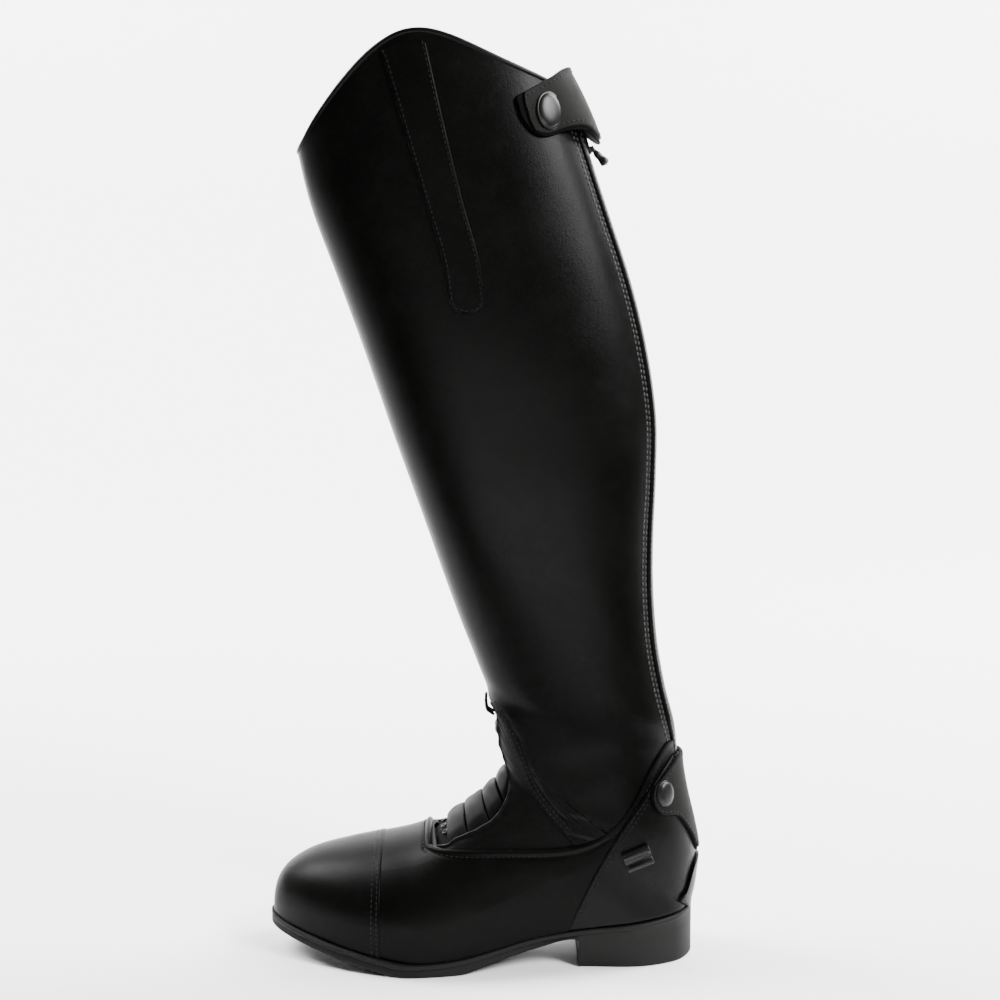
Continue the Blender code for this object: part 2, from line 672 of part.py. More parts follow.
def add_tongue(material):
    wings = []
    for side in SIDES:
        wing = []
        for s in row_numbers(THROAT_START - TONGUE_REACH, THROAT_END + TONGUE_REACH):
            share = ease((s - TONGUE_TURN[0]) / (TONGUE_TURN[1] - TONGUE_TURN[0]))
            half = TONGUE_LOW_HALF + (TONGUE_HIGH_HALF - TONGUE_LOW_HALF) * share
            edge = tau_beside_ridge(s, side, half)
            wing.append([(s, side, tau) for tau in steps(edge, 1.0, TONGUE_COLUMNS)])
        wings.append(wing)
    return add_sheet("tongue", wings, -UPPER_WALL - TONGUE_GAP, TONGUE_LEATHER, material, outward=False)


def add_toe_cap(material):
    wings = []
    for side in SIDES:
        rows = row_numbers(0.0, CAP_SEAM)
        wings.append([[(s, side, tau) for tau in steps(CAP_BASE, 1.0, COLUMNS)] for s in rows])
    return add_sheet("toe_cap", wings, GAP, CAP_LEATHER, material)


def vamp_low(s, side):
    """Lower edge of the vamp: the feather line, then the counter's seam."""
    if s <= COUNTER_START:
        return 0.0
    return tau_ahead_of(s, side, COUNTER_SEAM) + SEAM_TAU


def add_vamp(material):
    wings = []
    for side in SIDES:
        notch = tau_above(THROAT_START, side, VAMP_TOP)
        front = []
        for s in row_numbers(CAP_SEAM + SEAM_ROW, THROAT_START):
            taus = steps(0.0, notch, COLUMNS) + steps(notch, 1.0, CROWN_COLUMNS)[1:]
            front.append([(s, side, tau) for tau in taus])
        wings.append(front)
        wing = []
        for s in [*NOTCH_ROWS, *row_numbers(NOTCH_END, VAMP_END)]:
            low = vamp_low(s, side)
            high = max(tau_above(s, side, VAMP_TOP), low)
            wing.append([(s, side, tau) for tau in steps(low, high, COLUMNS)])
        wings.append(wing)
    return add_sheet("vamp", wings, VAMP_GAP, VAMP_LEATHER, material)


def add_counter(material):
    wings = []
    for side in SIDES:
        wing = []
        for s in row_numbers(COUNTER_START, COUNTER_END):
            low = 0.0 if s >= HEEL_CLOSED else COUNTER_BASE
            high = max(tau_ahead_of(s, side, COUNTER_SEAM), low)
            wing.append([(s, side, tau) for tau in steps(low, high, COLUMNS - 2)])
        wings.append(wing)
    return add_sheet("counter", wings, COUNTER_GAP, COUNTER_LEATHER, material)


def add_eyestay(name, side, material):
    wing = []
    for s in row_numbers(EYESTAY_START, EYESTAY_END):
        high = min(throat_tau(s, side), 1.0 - SEAM_TAU)
        low = max(tau_above(s, side, VAMP_TOP) + EYESTAY_SEAM, tau_ahead_of(s, side, SHAFT_EDGE))
        wing.append([(s, side, tau) for tau in steps(min(low, high), high, EYESTAY_COLUMNS)])
    return add_sheet(name, [wing], EYESTAY_GAP, EYESTAY_LEATHER, material)


def add_laces(material):
    """Ladder of flat bars joined at both sides, in the open throat."""
    middle = 2 * len(LACE_SPREAD)
    wing = []
    for s in LACE_EDGES:
        half_out = throat_half(s, OUT) - LACE_CLEAR
        half_in = throat_half(s, IN) - LACE_CLEAR
        row = [(s, OUT, tau_beside_ridge(s, OUT, half_out * u)) for u in LACE_SPREAD]
        row += [(s, OUT, 1.0)]
        row += [(s, IN, tau_beside_ridge(s, IN, half_in * u)) for u in LACE_SPREAD[::-1]]
        wing.append(row)

    def between_bars(i, j):
        return i % 2 == 1 and 0 < j < middle - 1

    return add_sheet("laces", [wing], LACE_LIFT, LACE_THICKNESS, material, skip=between_bars)


def add_lace_loop(material):
    """Loop of lace cord standing up against the shin: two legs joined by a half circle."""
    bend = math.pi * LOOP_HALF
    top = LOOP_LEG + LOOP_HALF
    points = []
    for run in steps(0.0, 2 * LOOP_LEG + bend, LOOP_STEPS):
        turn = min(max(run - LOOP_LEG, 0.0), bend) / LOOP_HALF
        below = max(LOOP_LEG - run, run - LOOP_LEG - bend, 0.0)
        high = LOOP_LEG - below + LOOP_HALF * math.sin(turn)
        swing = LOOP_LIFT + LOOP_REACH * math.sin(math.pi * high / top)
        across = Vector((0, -LOOP_HALF * math.cos(turn), 0))
        points.append(lifted((LOOP_LOW + high * LOOP_ROWS, OUT, 1.0), swing) + across)
    return add_tube("lace_loop", points, LOOP_RADIUS, material)


def add_eyelets(material):
    for label, side in (("out", OUT), ("in", IN)):
        for k, (s, half) in enumerate(EYELET_PLACES):
            place = (s, side, tau_beside_ridge(s, side, half))
            name = f"eyelet_{label}_{k + 1}"
            bpy.ops.mesh.primitive_torus_add(major_radius=EYELET_RADIUS * MM, minor_radius=EYELET_WIRE * MM,
                                             major_segments=EYELET_SEGMENTS, minor_segments=EYELET_SIDES)
            mesh = bpy.context.object.data
            bpy.data.objects.remove(bpy.context.object)
            mesh.name = name
            mesh.shade_smooth()
            eyelet = add_object(name, mesh, material)
            eyelet.matrix_local = turned_to(place, GAP + EYELET_WIRE - UPPER_WALL - TONGUE_GAP)


def add_stay_strip(material):
    """Sewn strip under the collar with a round lower end."""
    wing = []
    for k in range(STAY_ROWS + 1):
        s = STAY_LOW + (STAY_HIGH - STAY_LOW) * (k / STAY_ROWS) ** STAY_EASE
        back = tau_ahead_of(s, OUT, STAY_BACK)
        front = tau_ahead_of(s, OUT, STAY_FRONT)
        middle = (back + front) / 2
        spread = (front - back) / 2 * STAY_END[min(k, len(STAY_END) - 1)]
        row = [(s, OUT, tau) for tau in steps(middle - spread, middle + spread, STAY_COLUMNS)]
        if k == STAY_ROWS:
            row = [(collar_s(OUT, tau) - SEAM_ROW, OUT, tau) for _, _, tau in row]
        wing.append(row)
    return add_sheet("stay_strip", [wing], GAP, STAY_LEATHER, material)


def collar_ring(side):
    """Collar places on one side, from the zip to the shin."""
    return [(collar_s(side, tau), side, tau) for tau in steps(0.0, 1.0, COLUMNS)]


def add_piping(material):
    """Round piping along the collar's edge."""
    ring = collar_ring(OUT) + collar_ring(IN)[-2::-1]
    points = []
    for s, side, tau in ring:
        rise = (point(s + SEAM_ROW, side, tau) - point(s - SEAM_ROW, side, tau)).normalized()
        middle = lifted((s, side, tau), -UPPER_WALL / 2)
        points.append(middle + rise * (PIPING_RADIUS + PIPING_GAP))
    return add_tube("collar_piping", points, PIPING_RADIUS, material)


def add_zip_strip(name, side, material):
    wing = []
    for s in row_numbers(ZIP_OPEN, SHEAR_START):
        wide = tau_from_base(s, side, ZIP_STRIP_WIDTH)
        wing.append([(s, side, tau) for tau in steps(0.0, wide, ZIP_STRIP_COLUMNS)])
    for k in range(1, COLLAR_ROWS + 1):
        row = []
        for tau in steps(0.0, wide, ZIP_STRIP_COLUMNS):
            top = collar_s(side, tau) - SEAM_ROW
            row.append((SHEAR_START + (top - SHEAR_START) * k / COLLAR_ROWS, side, tau))
        wing.append(row)
    return add_sheet(name, [wing], GAP, STRIP_LEATHER, material)


def across_zip(s, half, count):
    """Places across the closed back of section s."""
    outer = tau_from_base(s, OUT, half, True)
    inner = tau_from_base(s, IN, half, True)
    out_places = [(s, OUT, t, True) for t in steps(outer, 0.0, count)]
    return out_places + [(s, IN, t, True) for t in steps(0.0, inner, count)][1:]


def add_zip_tape(material):
    wing = [across_zip(s, ZIP_TAPE_HALF, ZIP_TAPE_COLUMNS) for s in row_numbers(ZIP_TAPE_START, ZIP_TOP)]
    return add_sheet("zip_tape", [wing], -UPPER_WALL - INNER_GAP, ZIP_TAPE_THICKNESS, material, outward=False)


def add_zip_chain(material):
    rings = []
    for s in row_numbers(ZIP_OPEN, ZIP_TOP - SEAM_ROW):
        out = normal(s, OUT, 0.0, True)
        middle = point(s, OUT, 0.0, True)
        wide = Vector((0, ZIP_CHAIN_HALF, 0))
        high = middle - out * ZIP_CHAIN_TOP
        low = middle - out * ZIP_CHAIN_DEEP
        rings.append([high + wide, high - wide, low - wide, low + wide])
    return add_loft("zip_chain", rings, material)


def strap_lift(place):
    """Clearance of the top strap: it stands off over the zip and lies on the shaft at its ends."""
    s, side, tau = place[:3]
    away = (point(s, side, tau, True) - point(s, side, 0.0, True)).length
    over = STRAP_OVER_TOP + (STRAP_OVER_LOW - STRAP_OVER_TOP) * ease((STRAP_TOP_ROW - s) / STRAP_ROWS)
    return STRAP_LIFT + (over - STRAP_LIFT) * (1 - ease((away - STRAP_FLAT) / STRAP_FALL))


def tab_columns(edge_low, edge_high, reach_out, reach_in, bounds, count):
    """Grid across the back between two edges given as z for each x, one column for each place round it."""
    xs_low = [p[0] for p in edge_low]
    zs_low = [p[1] for p in edge_low]
    xs_high = [p[0] for p in edge_high]
    zs_high = [p[1] for p in edge_high]
    places = [(OUT, t) for t in steps(reach_out, 0.0, count)]
    places += [(IN, t) for t in steps(0.0, reach_in, count)][1:]
    grid = []
    for side, tau in places:

        def below(s):
            p = point(s, side, tau, True)
            return p.z - curve_at(xs_low, zs_low, p.x)

        def above(s):
            p = point(s, side, tau, True)
            return p.z - curve_at(xs_high, zs_high, p.x)

        low = solve(below, *bounds)
        high = solve(above, *bounds)
        grid.append([(s, side, tau, True) for s in steps(low, high, TAB_ROWS)])
    return grid


def add_top_strap(material):
    grid = tab_columns(STRAP_LOW_EDGE, STRAP_HIGH_EDGE, STRAP_REACH, STRAP_REACH, STRAP_BOUNDS, STRAP_COLUMNS)
    return add_sheet("top_strap", [grid], strap_lift, STRAP_LEATHER, material)


def add_heel_tab(material):
    grid = tab_columns(TAB_LOW_EDGE, TAB_HIGH_EDGE, TAB_REACH, TAB_REACH, TAB_BOUNDS, HEEL_TAB_COLUMNS)
    return add_sheet("heel_tab", [grid], TAB_LIFT, TAB_LEATHER, material)


def add_spur_rest(material):
    grid = tab_columns(REST_LOW_EDGE, REST_HIGH_EDGE, REST_REACH, REST_REACH, REST_BOUNDS, REST_COLUMNS)
    return add_sheet("spur_rest", [grid], TAB_LIFT, SPUR_REST_LEATHER, material)


def place_at(side, x, z):
    """Place on the closed surface seen at (x, z) from the side."""
    s = HEEL_CLOSED
    tau = WIDEST_COLUMN / 2
    for _ in range(PLACE_ROUNDS):
        tau = solve(lambda t: point(s, side, t, True).x - x, 0.0, 1.0)
        s = solve(lambda r: point(r, side, tau, True).z - z, COUNTER_START, COLLAR_LIMIT)
    return (s, side, tau, True)


def add_snap(name, radius, place, lift, material):
    """Domed press stud, turned about its own axis."""
    bm = bmesh.new()
    verts = [bm.verts.new((r * radius * MM, 0, h * SNAP_HEIGHT * MM)) for r, h in SNAP_PROFILE]
    for a, b in zip(verts, verts[1:]):
        bm.edges.new((a, b))
    outline = bm.verts[:] + bm.edges[:]
    bmesh.ops.spin(bm, geom=outline, axis=(0, 0, 1), cent=(0, 0, 0), angle=math.tau, steps=SNAP_SEGMENTS)
    bmesh.ops.remove_doubles(bm, verts=bm.verts, dist=WELD)
    bmesh.ops.recalc_face_normals(bm, faces=bm.faces)
    snap = add_object(name, finish_mesh(bm, name), material)
    snap.matrix_local = turned_to(place, lift)
    return snap


def add_spur_lug(material):
    """Ribbed block on the outer side of the heel: a ribbed outline drawn out along its length."""
    outline = bpy.data.curves.new("spur_lug", "CURVE")
    outline.dimensions = "2D"
    outline.fill_mode = "BOTH"
    outline.extrude = LUG_LENGTH / 2 * MM
    outline.bevel_depth = LUG_BEVEL * MM
    outline.bevel_resolution = 0
    line = outline.splines.new("POLY")
    line.points.add(len(LUG_PROFILE) - 1)
    line.use_cyclic_u = True
    for i, (across, high) in enumerate(LUG_PROFILE):
        line.points[i].co = (across * MM, high * MM, 0, 1)
    outline.materials.append(material)
    lug = bpy.data.objects.new("spur_lug", outline)
    bpy.data.collections[COLLECTION].objects.link(lug)
    lug.parent = bpy.data.objects["boot_frame"]
    place = place_at(OUT, LUG_X, LUG_Z)
    turn = Matrix.Rotation(math.radians(LUG_TILT), 4, "Z") @ Matrix.Rotation(math.pi / 2, 4, "Y")
    lie = turn @ Matrix.Rotation(math.pi / 2, 4, "Z")
    lug.matrix_local = turned_to(place, TAB_LIFT + LUG_BEVEL) @ lie
    return lug


def zip_frame():
    """Matrix at the zip's slider: X down the zip, Y to the inner side, Z out of the boot."""
    out = normal(SLIDER_ROW, OUT, 0.0, True)
    out.y = 0
    out.normalize()
    inner = Vector((0, -1, 0))
    down = inner.cross(out)
    turn = Matrix((down, inner, out)).transposed().to_4x4()
    return Matrix.Translation(point(SLIDER_ROW, OUT, 0.0, True) * MM) @ turn


def add_box(bm, size, middle):
    made = bmesh.ops.create_cube(bm, size=1.0)["verts"]
    bmesh.ops.scale(bm, vec=[v * MM for v in size], verts=made)
    bmesh.ops.translate(bm, vec=[v * MM for v in middle], verts=made)


def box_object(name, size, middle, collection):
    bm = bmesh.new()
    add_box(bm, size, middle)
    mesh = bpy.data.meshes.new(name)
    bm.to_mesh(mesh)
    bm.free()
    obj = bpy.data.objects.new(name, mesh)
    bpy.data.collections[collection].objects.link(obj)
    obj.parent = bpy.data.objects["boot_frame"]
    obj.matrix_local = zip_frame()
    return obj


def add_slider(material):
    """Slider body over the chain, with two ears for the pull."""
    body = box_object("zip_slider", SLIDER_SIZE, (0, 0, SLIDER_SIZE[2] / 2), COLLECTION)
    body.data.materials.append(material)
    soften = body.modifiers.new("soft_edges", "BEVEL")
    soften.width = SLIDER_BEVEL * MM
    soften.segments = 1
    for side in SIDES:
        middle = (PULL_PIVOT[0], side * EAR_OFFSET, PULL_PIVOT[1] - EAR_SIZE[2] / 4)
        ear = box_object("ear", EAR_SIZE, middle, CUTTERS)
        ear.hide_render = True
        ear.display_type = "WIRE"
        join = body.modifiers.new("ear", "BOOLEAN")
        join.operation = "UNION"
        join.object = ear
    return body


def add_pull(material):
    """Pull tab with a round grip, hung between the slider's ears."""
    angle = math.radians(PULL_ANGLE)
    run = Vector((math.cos(angle), 0, math.sin(angle)))
    curve_points = [run * length for length, _ in PULL_SHAPE]
    pull = add_tube("zip_pull", curve_points, 1.0, material, [thick for _, thick in PULL_SHAPE])
    pivot = Matrix.Translation(Vector((PULL_PIVOT[0], 0, PULL_PIVOT[1])) * MM)
    pull.matrix_local = zip_frame() @ pivot
    return pull


def stand_on_floor(frame):
    """Moves the frame so that the boot stands on the floor with its box centred on the origin."""
    bpy.context.view_layer.update()
    graph = bpy.context.evaluated_depsgraph_get()
    corners = []
    for obj in bpy.data.collections[COLLECTION].objects:
        if obj.type != "EMPTY":
            mesh = obj.evaluated_get(graph).to_mesh()
            corners += [obj.matrix_world @ v.co for v in mesh.vertices]
    low = [min(c[k] for c in corners) for k in range(3)]
    high = [max(c[k] for c in corners) for k in range(3)]
    frame.location = (-(low[0] + high[0]) / 2, -(low[1] + high[1]) / 2, -low[2])


def main():
    for obj in list(bpy.data.objects):
        bpy.data.objects.remove(obj)
    for name in (COLLECTION, CUTTERS):
        bpy.context.scene.collection.children.link(bpy.data.collections.new(name))
    frame = bpy.data.objects.new("boot_frame", None)
    bpy.data.collections[COLLECTION].objects.link(frame)
    leather = make_material("black_leather", (0.012, 0.012, 0.012), 0.35)
    rubber = make_material("sole_rubber", (0.03, 0.03, 0.03), 0.6)
    lining = make_material("lining_leather", (0.05, 0.045, 0.04), 0.7)
    elastic = make_material("lace_elastic", (0.015, 0.015, 0.015), 0.8)
    metal = make_material("black_metal", (0.03, 0.03, 0.03), 0.35, 1.0)
    tape = make_material("zip_tape_fabric", (0.012, 0.012, 0.012), 0.9)
    teeth = make_material("zip_teeth", (0.02, 0.02, 0.02), 0.4)
    add_outsole(rubber)
    add_insole(lining)
    add_upper(leather)
    add_tongue(leather)
    add_toe_cap(leather)
    add_vamp(leather)
    add_counter(leather)
    add_eyestay("eyestay_out", OUT, leather)
    add_eyestay("eyestay_in", IN, leather)
    add_laces(elastic)
    add_lace_loop(elastic)
    add_eyelets(metal)
    add_stay_strip(leather)
    add_piping(leather)
    add_zip_strip("zip_strip_out", OUT, leather)
    add_zip_strip("zip_strip_in", IN, leather)
    add_zip_tape(tape)
    add_zip_chain(teeth)
    add_slider(metal)
    add_pull(metal)
    add_top_strap(leather)
    top_place = place_at(OUT, TOP_SNAP_X, TOP_SNAP_Z)
    add_snap("top_snap", TOP_SNAP_RADIUS, top_place, strap_lift(top_place) + STRAP_LEATHER + SNAP_SEAT, metal)
    add_heel_tab(leather)
    heel_place = place_at(OUT, HEEL_SNAP_X, HEEL_SNAP_Z)
    add_snap("heel_snap", SNAP_RADIUS, heel_place, TAB_LIFT + TAB_LEATHER + SNAP_SEAT, metal)
    add_spur_rest(leather)
    add_spur_lug(rubber)
    stand_on_floor(frame)


main()
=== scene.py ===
import math

import bmesh
import bpy
import numpy as np
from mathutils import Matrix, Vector


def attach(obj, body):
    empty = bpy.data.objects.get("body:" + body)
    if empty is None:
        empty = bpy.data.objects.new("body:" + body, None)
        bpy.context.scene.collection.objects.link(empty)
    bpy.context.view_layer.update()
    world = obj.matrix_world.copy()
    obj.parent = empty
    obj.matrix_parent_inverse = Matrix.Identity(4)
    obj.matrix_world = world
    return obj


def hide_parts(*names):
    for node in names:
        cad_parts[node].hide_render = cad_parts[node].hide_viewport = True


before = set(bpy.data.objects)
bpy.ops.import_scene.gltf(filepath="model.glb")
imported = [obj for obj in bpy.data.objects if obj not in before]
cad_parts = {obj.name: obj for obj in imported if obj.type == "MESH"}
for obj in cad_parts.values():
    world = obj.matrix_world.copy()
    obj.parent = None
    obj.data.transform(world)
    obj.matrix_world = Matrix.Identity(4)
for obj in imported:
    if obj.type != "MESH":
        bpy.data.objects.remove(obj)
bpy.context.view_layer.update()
mm = 0.001
bootShift = np.array((-128.529, -2.034, 0.0))  # from the heel's back to the middle of the box
boot = "boot"


def linked(name, data):  # new object in the scene
    piece = bpy.data.objects.new(name, data)
    bpy.context.scene.collection.objects.link(piece)
    return piece


# camera at the photograph's angle
view = {"place": (119.0, 990.0, 407.0), "pitch": 7.24, "lens": 59.47, "sensor": 36.0}
camera = linked("photoCamera", bpy.data.cameras.new("photoCamera"))
camera.data.lens = view["lens"]
camera.data.sensor_width = view["sensor"]
camera.location = (np.array(view["place"]) + bootShift) * mm
camera.rotation_euler = (math.radians(90 - view["pitch"]), 0.0, math.pi)
bpy.context.scene.camera = camera


# the boot's own sizes, in millimetres: x to the toe, y to the outer side, z up
soleRows = (  # x, centre, half, feather, tread
    (0, 0, 0, 32, 0), (12, 0, 24.5, 29.5, 0), (35, 0.3, 33, 26.8, 0), (70, 2, 31, 23, 17),
    (100, 4, 31, 18, 11.6), (124, 4.5, 36.2, 12.4, 5), (144, 4.2, 42, 8.8, 0), (165, 3.5, 46, 7.5, 0),
    (180, 2.4, 46.8, 8, 0), (215, -2, 40.5, 14, 6.4), (240, -5, 29.5, 19, 11.8), (254, -6, 18.5, 22, 14.8),
    (262, -6, 0, 23.4, 16.4))
footRows = (  # base x, front x, front z, half out, half in, widest, top, low, ridge
    (256.6, 256.6, 37.5, 2.5, 14.5, 0.40, 2.0, 1.1, -6), (252.5, 252.5, 46.5, 9.6, 22.5, 0.40, 2.0, 1.1, -6),
    (245, 245, 53.5, 17.2, 28.5, 0.38, 2.0, 1.1, -6), (232, 232, 60, 26.6, 35, 0.36, 2.0, 1.1, -6),
    (212, 212, 65.2, 37.2, 40.8, 0.34, 2.0, 1.1, -6), (190, 190, 69.8, 44.6, 43.2, 0.33, 2.0, 1.1, -6),
    (170, 171, 74.6, 47.3, 42, 0.33, 2.0, 1.1, -5), (150, 158, 80.6, 45.8, 39, 0.33, 2.1, 1.1, -4),
    (128, 146, 89.6, 41, 35.5, 0.33, 2.2, 1.1, -3), (104, 135, 98, 36.6, 33, 0.34, 2.3, 1.1, -2),
    (80, 126, 106, 34.2, 32, 0.36, 2.3, 1.1, -1), (56, 119, 114.5, 33, 31.6, 0.38, 2.3, 1.1, 0),
    (34, 116.6, 120, 32.4, 31.5, 0.40, 2.3, 1.1, 0), (16, 118.6, 126.5, 32.1, 31.5, 0.41, 2.3, 1.3, 0),
    (7.4, 120, 130.5, 32, 31.5, 0.42, 2.3, 1.6, 0))
legRows = (  # back x, back z, front x, front z, half out, half in, widest, top, low, seam, zip gap
    (4, 36, 121, 134, 32, 31.5, 0.42, 2.3, 2, 0, 0), (1.6, 50, 122.3, 139, 32.5, 32, 0.42, 2.3, 2, 0, 0),
    (0.6, 66, 123.5, 145, 32.5, 32, 0.42, 2.3, 2, 0, 0), (3.4, 82, 124.7, 152, 32, 31.5, 0.43, 2.3, 2, 0, 0),
    (7.8, 100, 125.9, 160, 31.5, 31, 0.44, 2.3, 2, 0.5, 0),
    (11, 117, 127.5, 168, 31.5, 31, 0.45, 2.2, 2, 2, 0),
    (12.4, 131, 131, 177, 32, 31.5, 0.46, 2.2, 2, 4, 0),
    (14.8, 147, 136, 190, 32.5, 32, 0.47, 2.2, 2, 5.5, 9),
    (20.8, 170, 143, 208, 33, 33, 0.48, 2.2, 2.1, 6, 9), (25.8, 198, 152, 233, 34, 34, 0.49, 2.2, 2.1, 6, 9),
    (28.4, 230, 162, 262, 35.5, 35.5, 0.50, 2.2, 2.1, 5, 9),
    (28.6, 262, 171.5, 289, 36.5, 36.5, 0.50, 2.2, 2.1, 4, 9),
    (27.4, 296, 182.5, 320, 37.5, 37.5, 0.50, 2.2, 2.1, 3, 9),
    (27.6, 332, 193, 351, 38, 38, 0.50, 2.2, 2.1, 2.5, 9),
    (33.5, 372, 204, 383, 38.5, 38.5, 0.50, 2.2, 2.1, 2, 9),
    (43.5, 412, 216, 416, 38.5, 38.5, 0.50, 2.2, 2.1, 2, 9),
    (57, 452, 230.5, 456, 38.5, 38.5, 0.50, 2.2, 2.1, 2, 9),
    (69.5, 489, 238.5, 490, 38.5, 38.5, 0.50, 2.2, 2.1, 2, 9),
    (83, 530, 247, 534, 38.5, 38.5, 0.50, 2.2, 2.1, 2, 9),
    (93, 566, 252, 572, 38.5, 38.5, 0.50, 2.2, 2.1, 2, 9))
edges = {  # seam lines drawn on the side view, as (x, z)
    "collarOut": ((60, 516), (85, 521), (96, 525), (119, 534), (141, 543.5), (154, 548), (165, 549.5),
                  (176, 547), (188, 540), (199, 530.5), (211, 517.5), (224, 501.5), (237, 484.5),
                  (250, 480)),
    "collarIn": ((60, 517), (85, 521), (125, 511), (170, 500), (210, 490), (237, 484.5), (250, 484)),
    "counter": ((80, 15), (77.5, 24), (70, 43), (61, 62), (47, 86), (33, 106), (17, 126), (4, 140)),
    "vampTop": ((18, 136), (25, 127.5), (31, 118), (37.7, 105.5), (46, 93.5), (54.9, 85.2), (66, 78.5),
                (77.7, 75.3), (90, 74), (120, 73.5), (146, 72.6), (155, 72.2), (166, 73)),
    "shaft": ((66, 67.5), (75, 77.2), (83, 86.2), (91.6, 96.2), (98.4, 105.4), (103, 113.8), (106.3, 121.5),
              (109.2, 129), (112.2, 136.6), (116.8, 146), (120, 151.6), (128, 164)),
    "throat": ((163, 72.4), (152.5, 74.6), (144.8, 79.2), (134.6, 83.9), (124.4, 90), (119, 96),
               (115.1, 103.1), (113.6, 110.5), (114.6, 118.5), (116.5, 125), (119, 132.2), (119.9, 138),
               (120.8, 146), (121.4, 154), (127.5, 162)),
    "stayBack": ((127.5, 403), (131, 425), (139.5, 455), (150.5, 500), (161.5, 549)),
    "stayFront": ((148.5, 403), (152, 425), (161, 455), (174, 500), (188.5, 549)),
    "strapLow": ((66, 485), (71, 490.5), (77, 496.5), (84, 496.5), (93, 493.5), (100.5, 495.5),
                 (106.5, 502.5), (111, 512)),
    "strapHigh": ((60, 538), (84, 534), (92, 527.5), (100, 522), (111, 515.5)),
    "tabLow": ((1, 64), (5, 75), (9, 83), (14, 90), (22, 92.5), (29, 96.5), (34, 102.5)),
    "tabHigh": ((8, 127), (14, 126.5), (19, 121), (26, 113), (34, 106.5)),
    "restLow": ((0, 30), (20, 30)),
    "restHigh": ((0, 63), (2, 60), (4, 55.5), (6, 48.5), (8, 42), (10.5, 36.5), (14, 31))}
soleLength = 262.0
footEnd = len(footRows)
marks = {  # places along the numbered sections
    "cap": 6.0, "throatLow": 7.75, "throatOpen": 7.95, "throatTop": footEnd + 5.2,
    "heelClosed": footEnd + 1.0, "zipStart": footEnd + 7.0, "shear": footEnd + 14.0,
    "limit": footEnd + len(legRows), "slider": 33.05, "zipTop": 33.5}
widestColumn = 0.4
feather = {"inset": 4.0, "lift": 0.9, "narrow": 40.0}  # where the upper meets the sole


def hermite(u, p1, m1, p2, m2):
    return ((2 * u ** 3 - 3 * u ** 2 + 1) * p1 + (u ** 3 - 2 * u ** 2 + u) * m1
            + (-2 * u ** 3 + 3 * u ** 2) * p2 + (u ** 3 - u ** 2) * m2)


def along(values, s):  # smooth curve through numbered values
    last = len(values) - 1
    i = np.clip(np.floor(s).astype(int), 0, last - 1)
    before = values[np.maximum(i - 1, 0)]
    after = values[np.minimum(i + 2, last)]
    return hermite(s - i, values[i], (values[i + 1] - before) / 2, values[i + 1], (after - values[i]) / 2)


def through(points, x, flip=False):  # smooth curve through drawn points, level beyond its ends
    xs, ys = np.array(points, float).T[::-1] if flip else np.array(points, float).T
    x = np.clip(x, xs[0], xs[-1])
    i = np.clip(np.searchsorted(xs, x, side="right") - 1, 0, len(xs) - 2)
    slope = np.empty(len(xs))
    slope[1:-1] = (ys[2:] - ys[:-2]) / (xs[2:] - xs[:-2])
    slope[0] = (ys[1] - ys[0]) / (xs[1] - xs[0])
    slope[-1] = (ys[-1] - ys[-2]) / (xs[-1] - xs[-2])
    wide = xs[i + 1] - xs[i]
    return hermite((x - xs[i]) / wide, ys[i], slope[i] * wide, ys[i + 1], slope[i + 1] * wide)


def ease(u):
    u = np.clip(u, 0.0, 1.0)
    return u * u * (3 - 2 * u)


def soleValue(x, column):
    return through([(row[0], row[column]) for row in soleRows], x)


def solePlan(x, inset):  # middle line and half width of the sole drawn smaller
    grown = np.clip((x - inset) * soleLength / (soleLength - 2 * inset), 0.0, soleLength)
    squared = through([(row[0], row[2] ** 2) for row in soleRows], grown)
    return soleValue(grown, 1), np.sqrt(np.maximum(squared, 0.0)) * (1 - inset / feather["narrow"])


def sectionTable():
    rows = []
    for bx, fx, fz, out, inner, widest, top, low, ridge in footRows:
        centre, half = solePlan(np.float64(bx), feather["inset"])
        rows.append((bx, soleValue(np.float64(bx), 3) + feather["lift"], fx, fz, ridge, centre + half,
                     half - centre, out, inner, widest, top, low, 0, 0))
    x = np.float64(soleLength - feather["inset"])
    z = soleValue(x, 3) + feather["lift"]
    y = solePlan(x, feather["inset"])[0]
    rows.insert(0, (x, z, x, z, y, y, -y, y, -y, *rows[0][9:12], 0, 0))
    for bx, bz, fx, fz, out, inner, widest, top, low, seam, gap in legRows:
        rows.append((bx, bz, fx, fz, 0, seam, -seam, out, inner, widest, top, low, seam, gap / 2))
    names = ("bx", "bz", "fx", "fz", "fy", "baseOut", "baseIn", "out", "in", "widest", "top", "low", "seam",
             "gap")
    return dict(zip(names, np.array(rows, float).T))


sections = sectionTable()


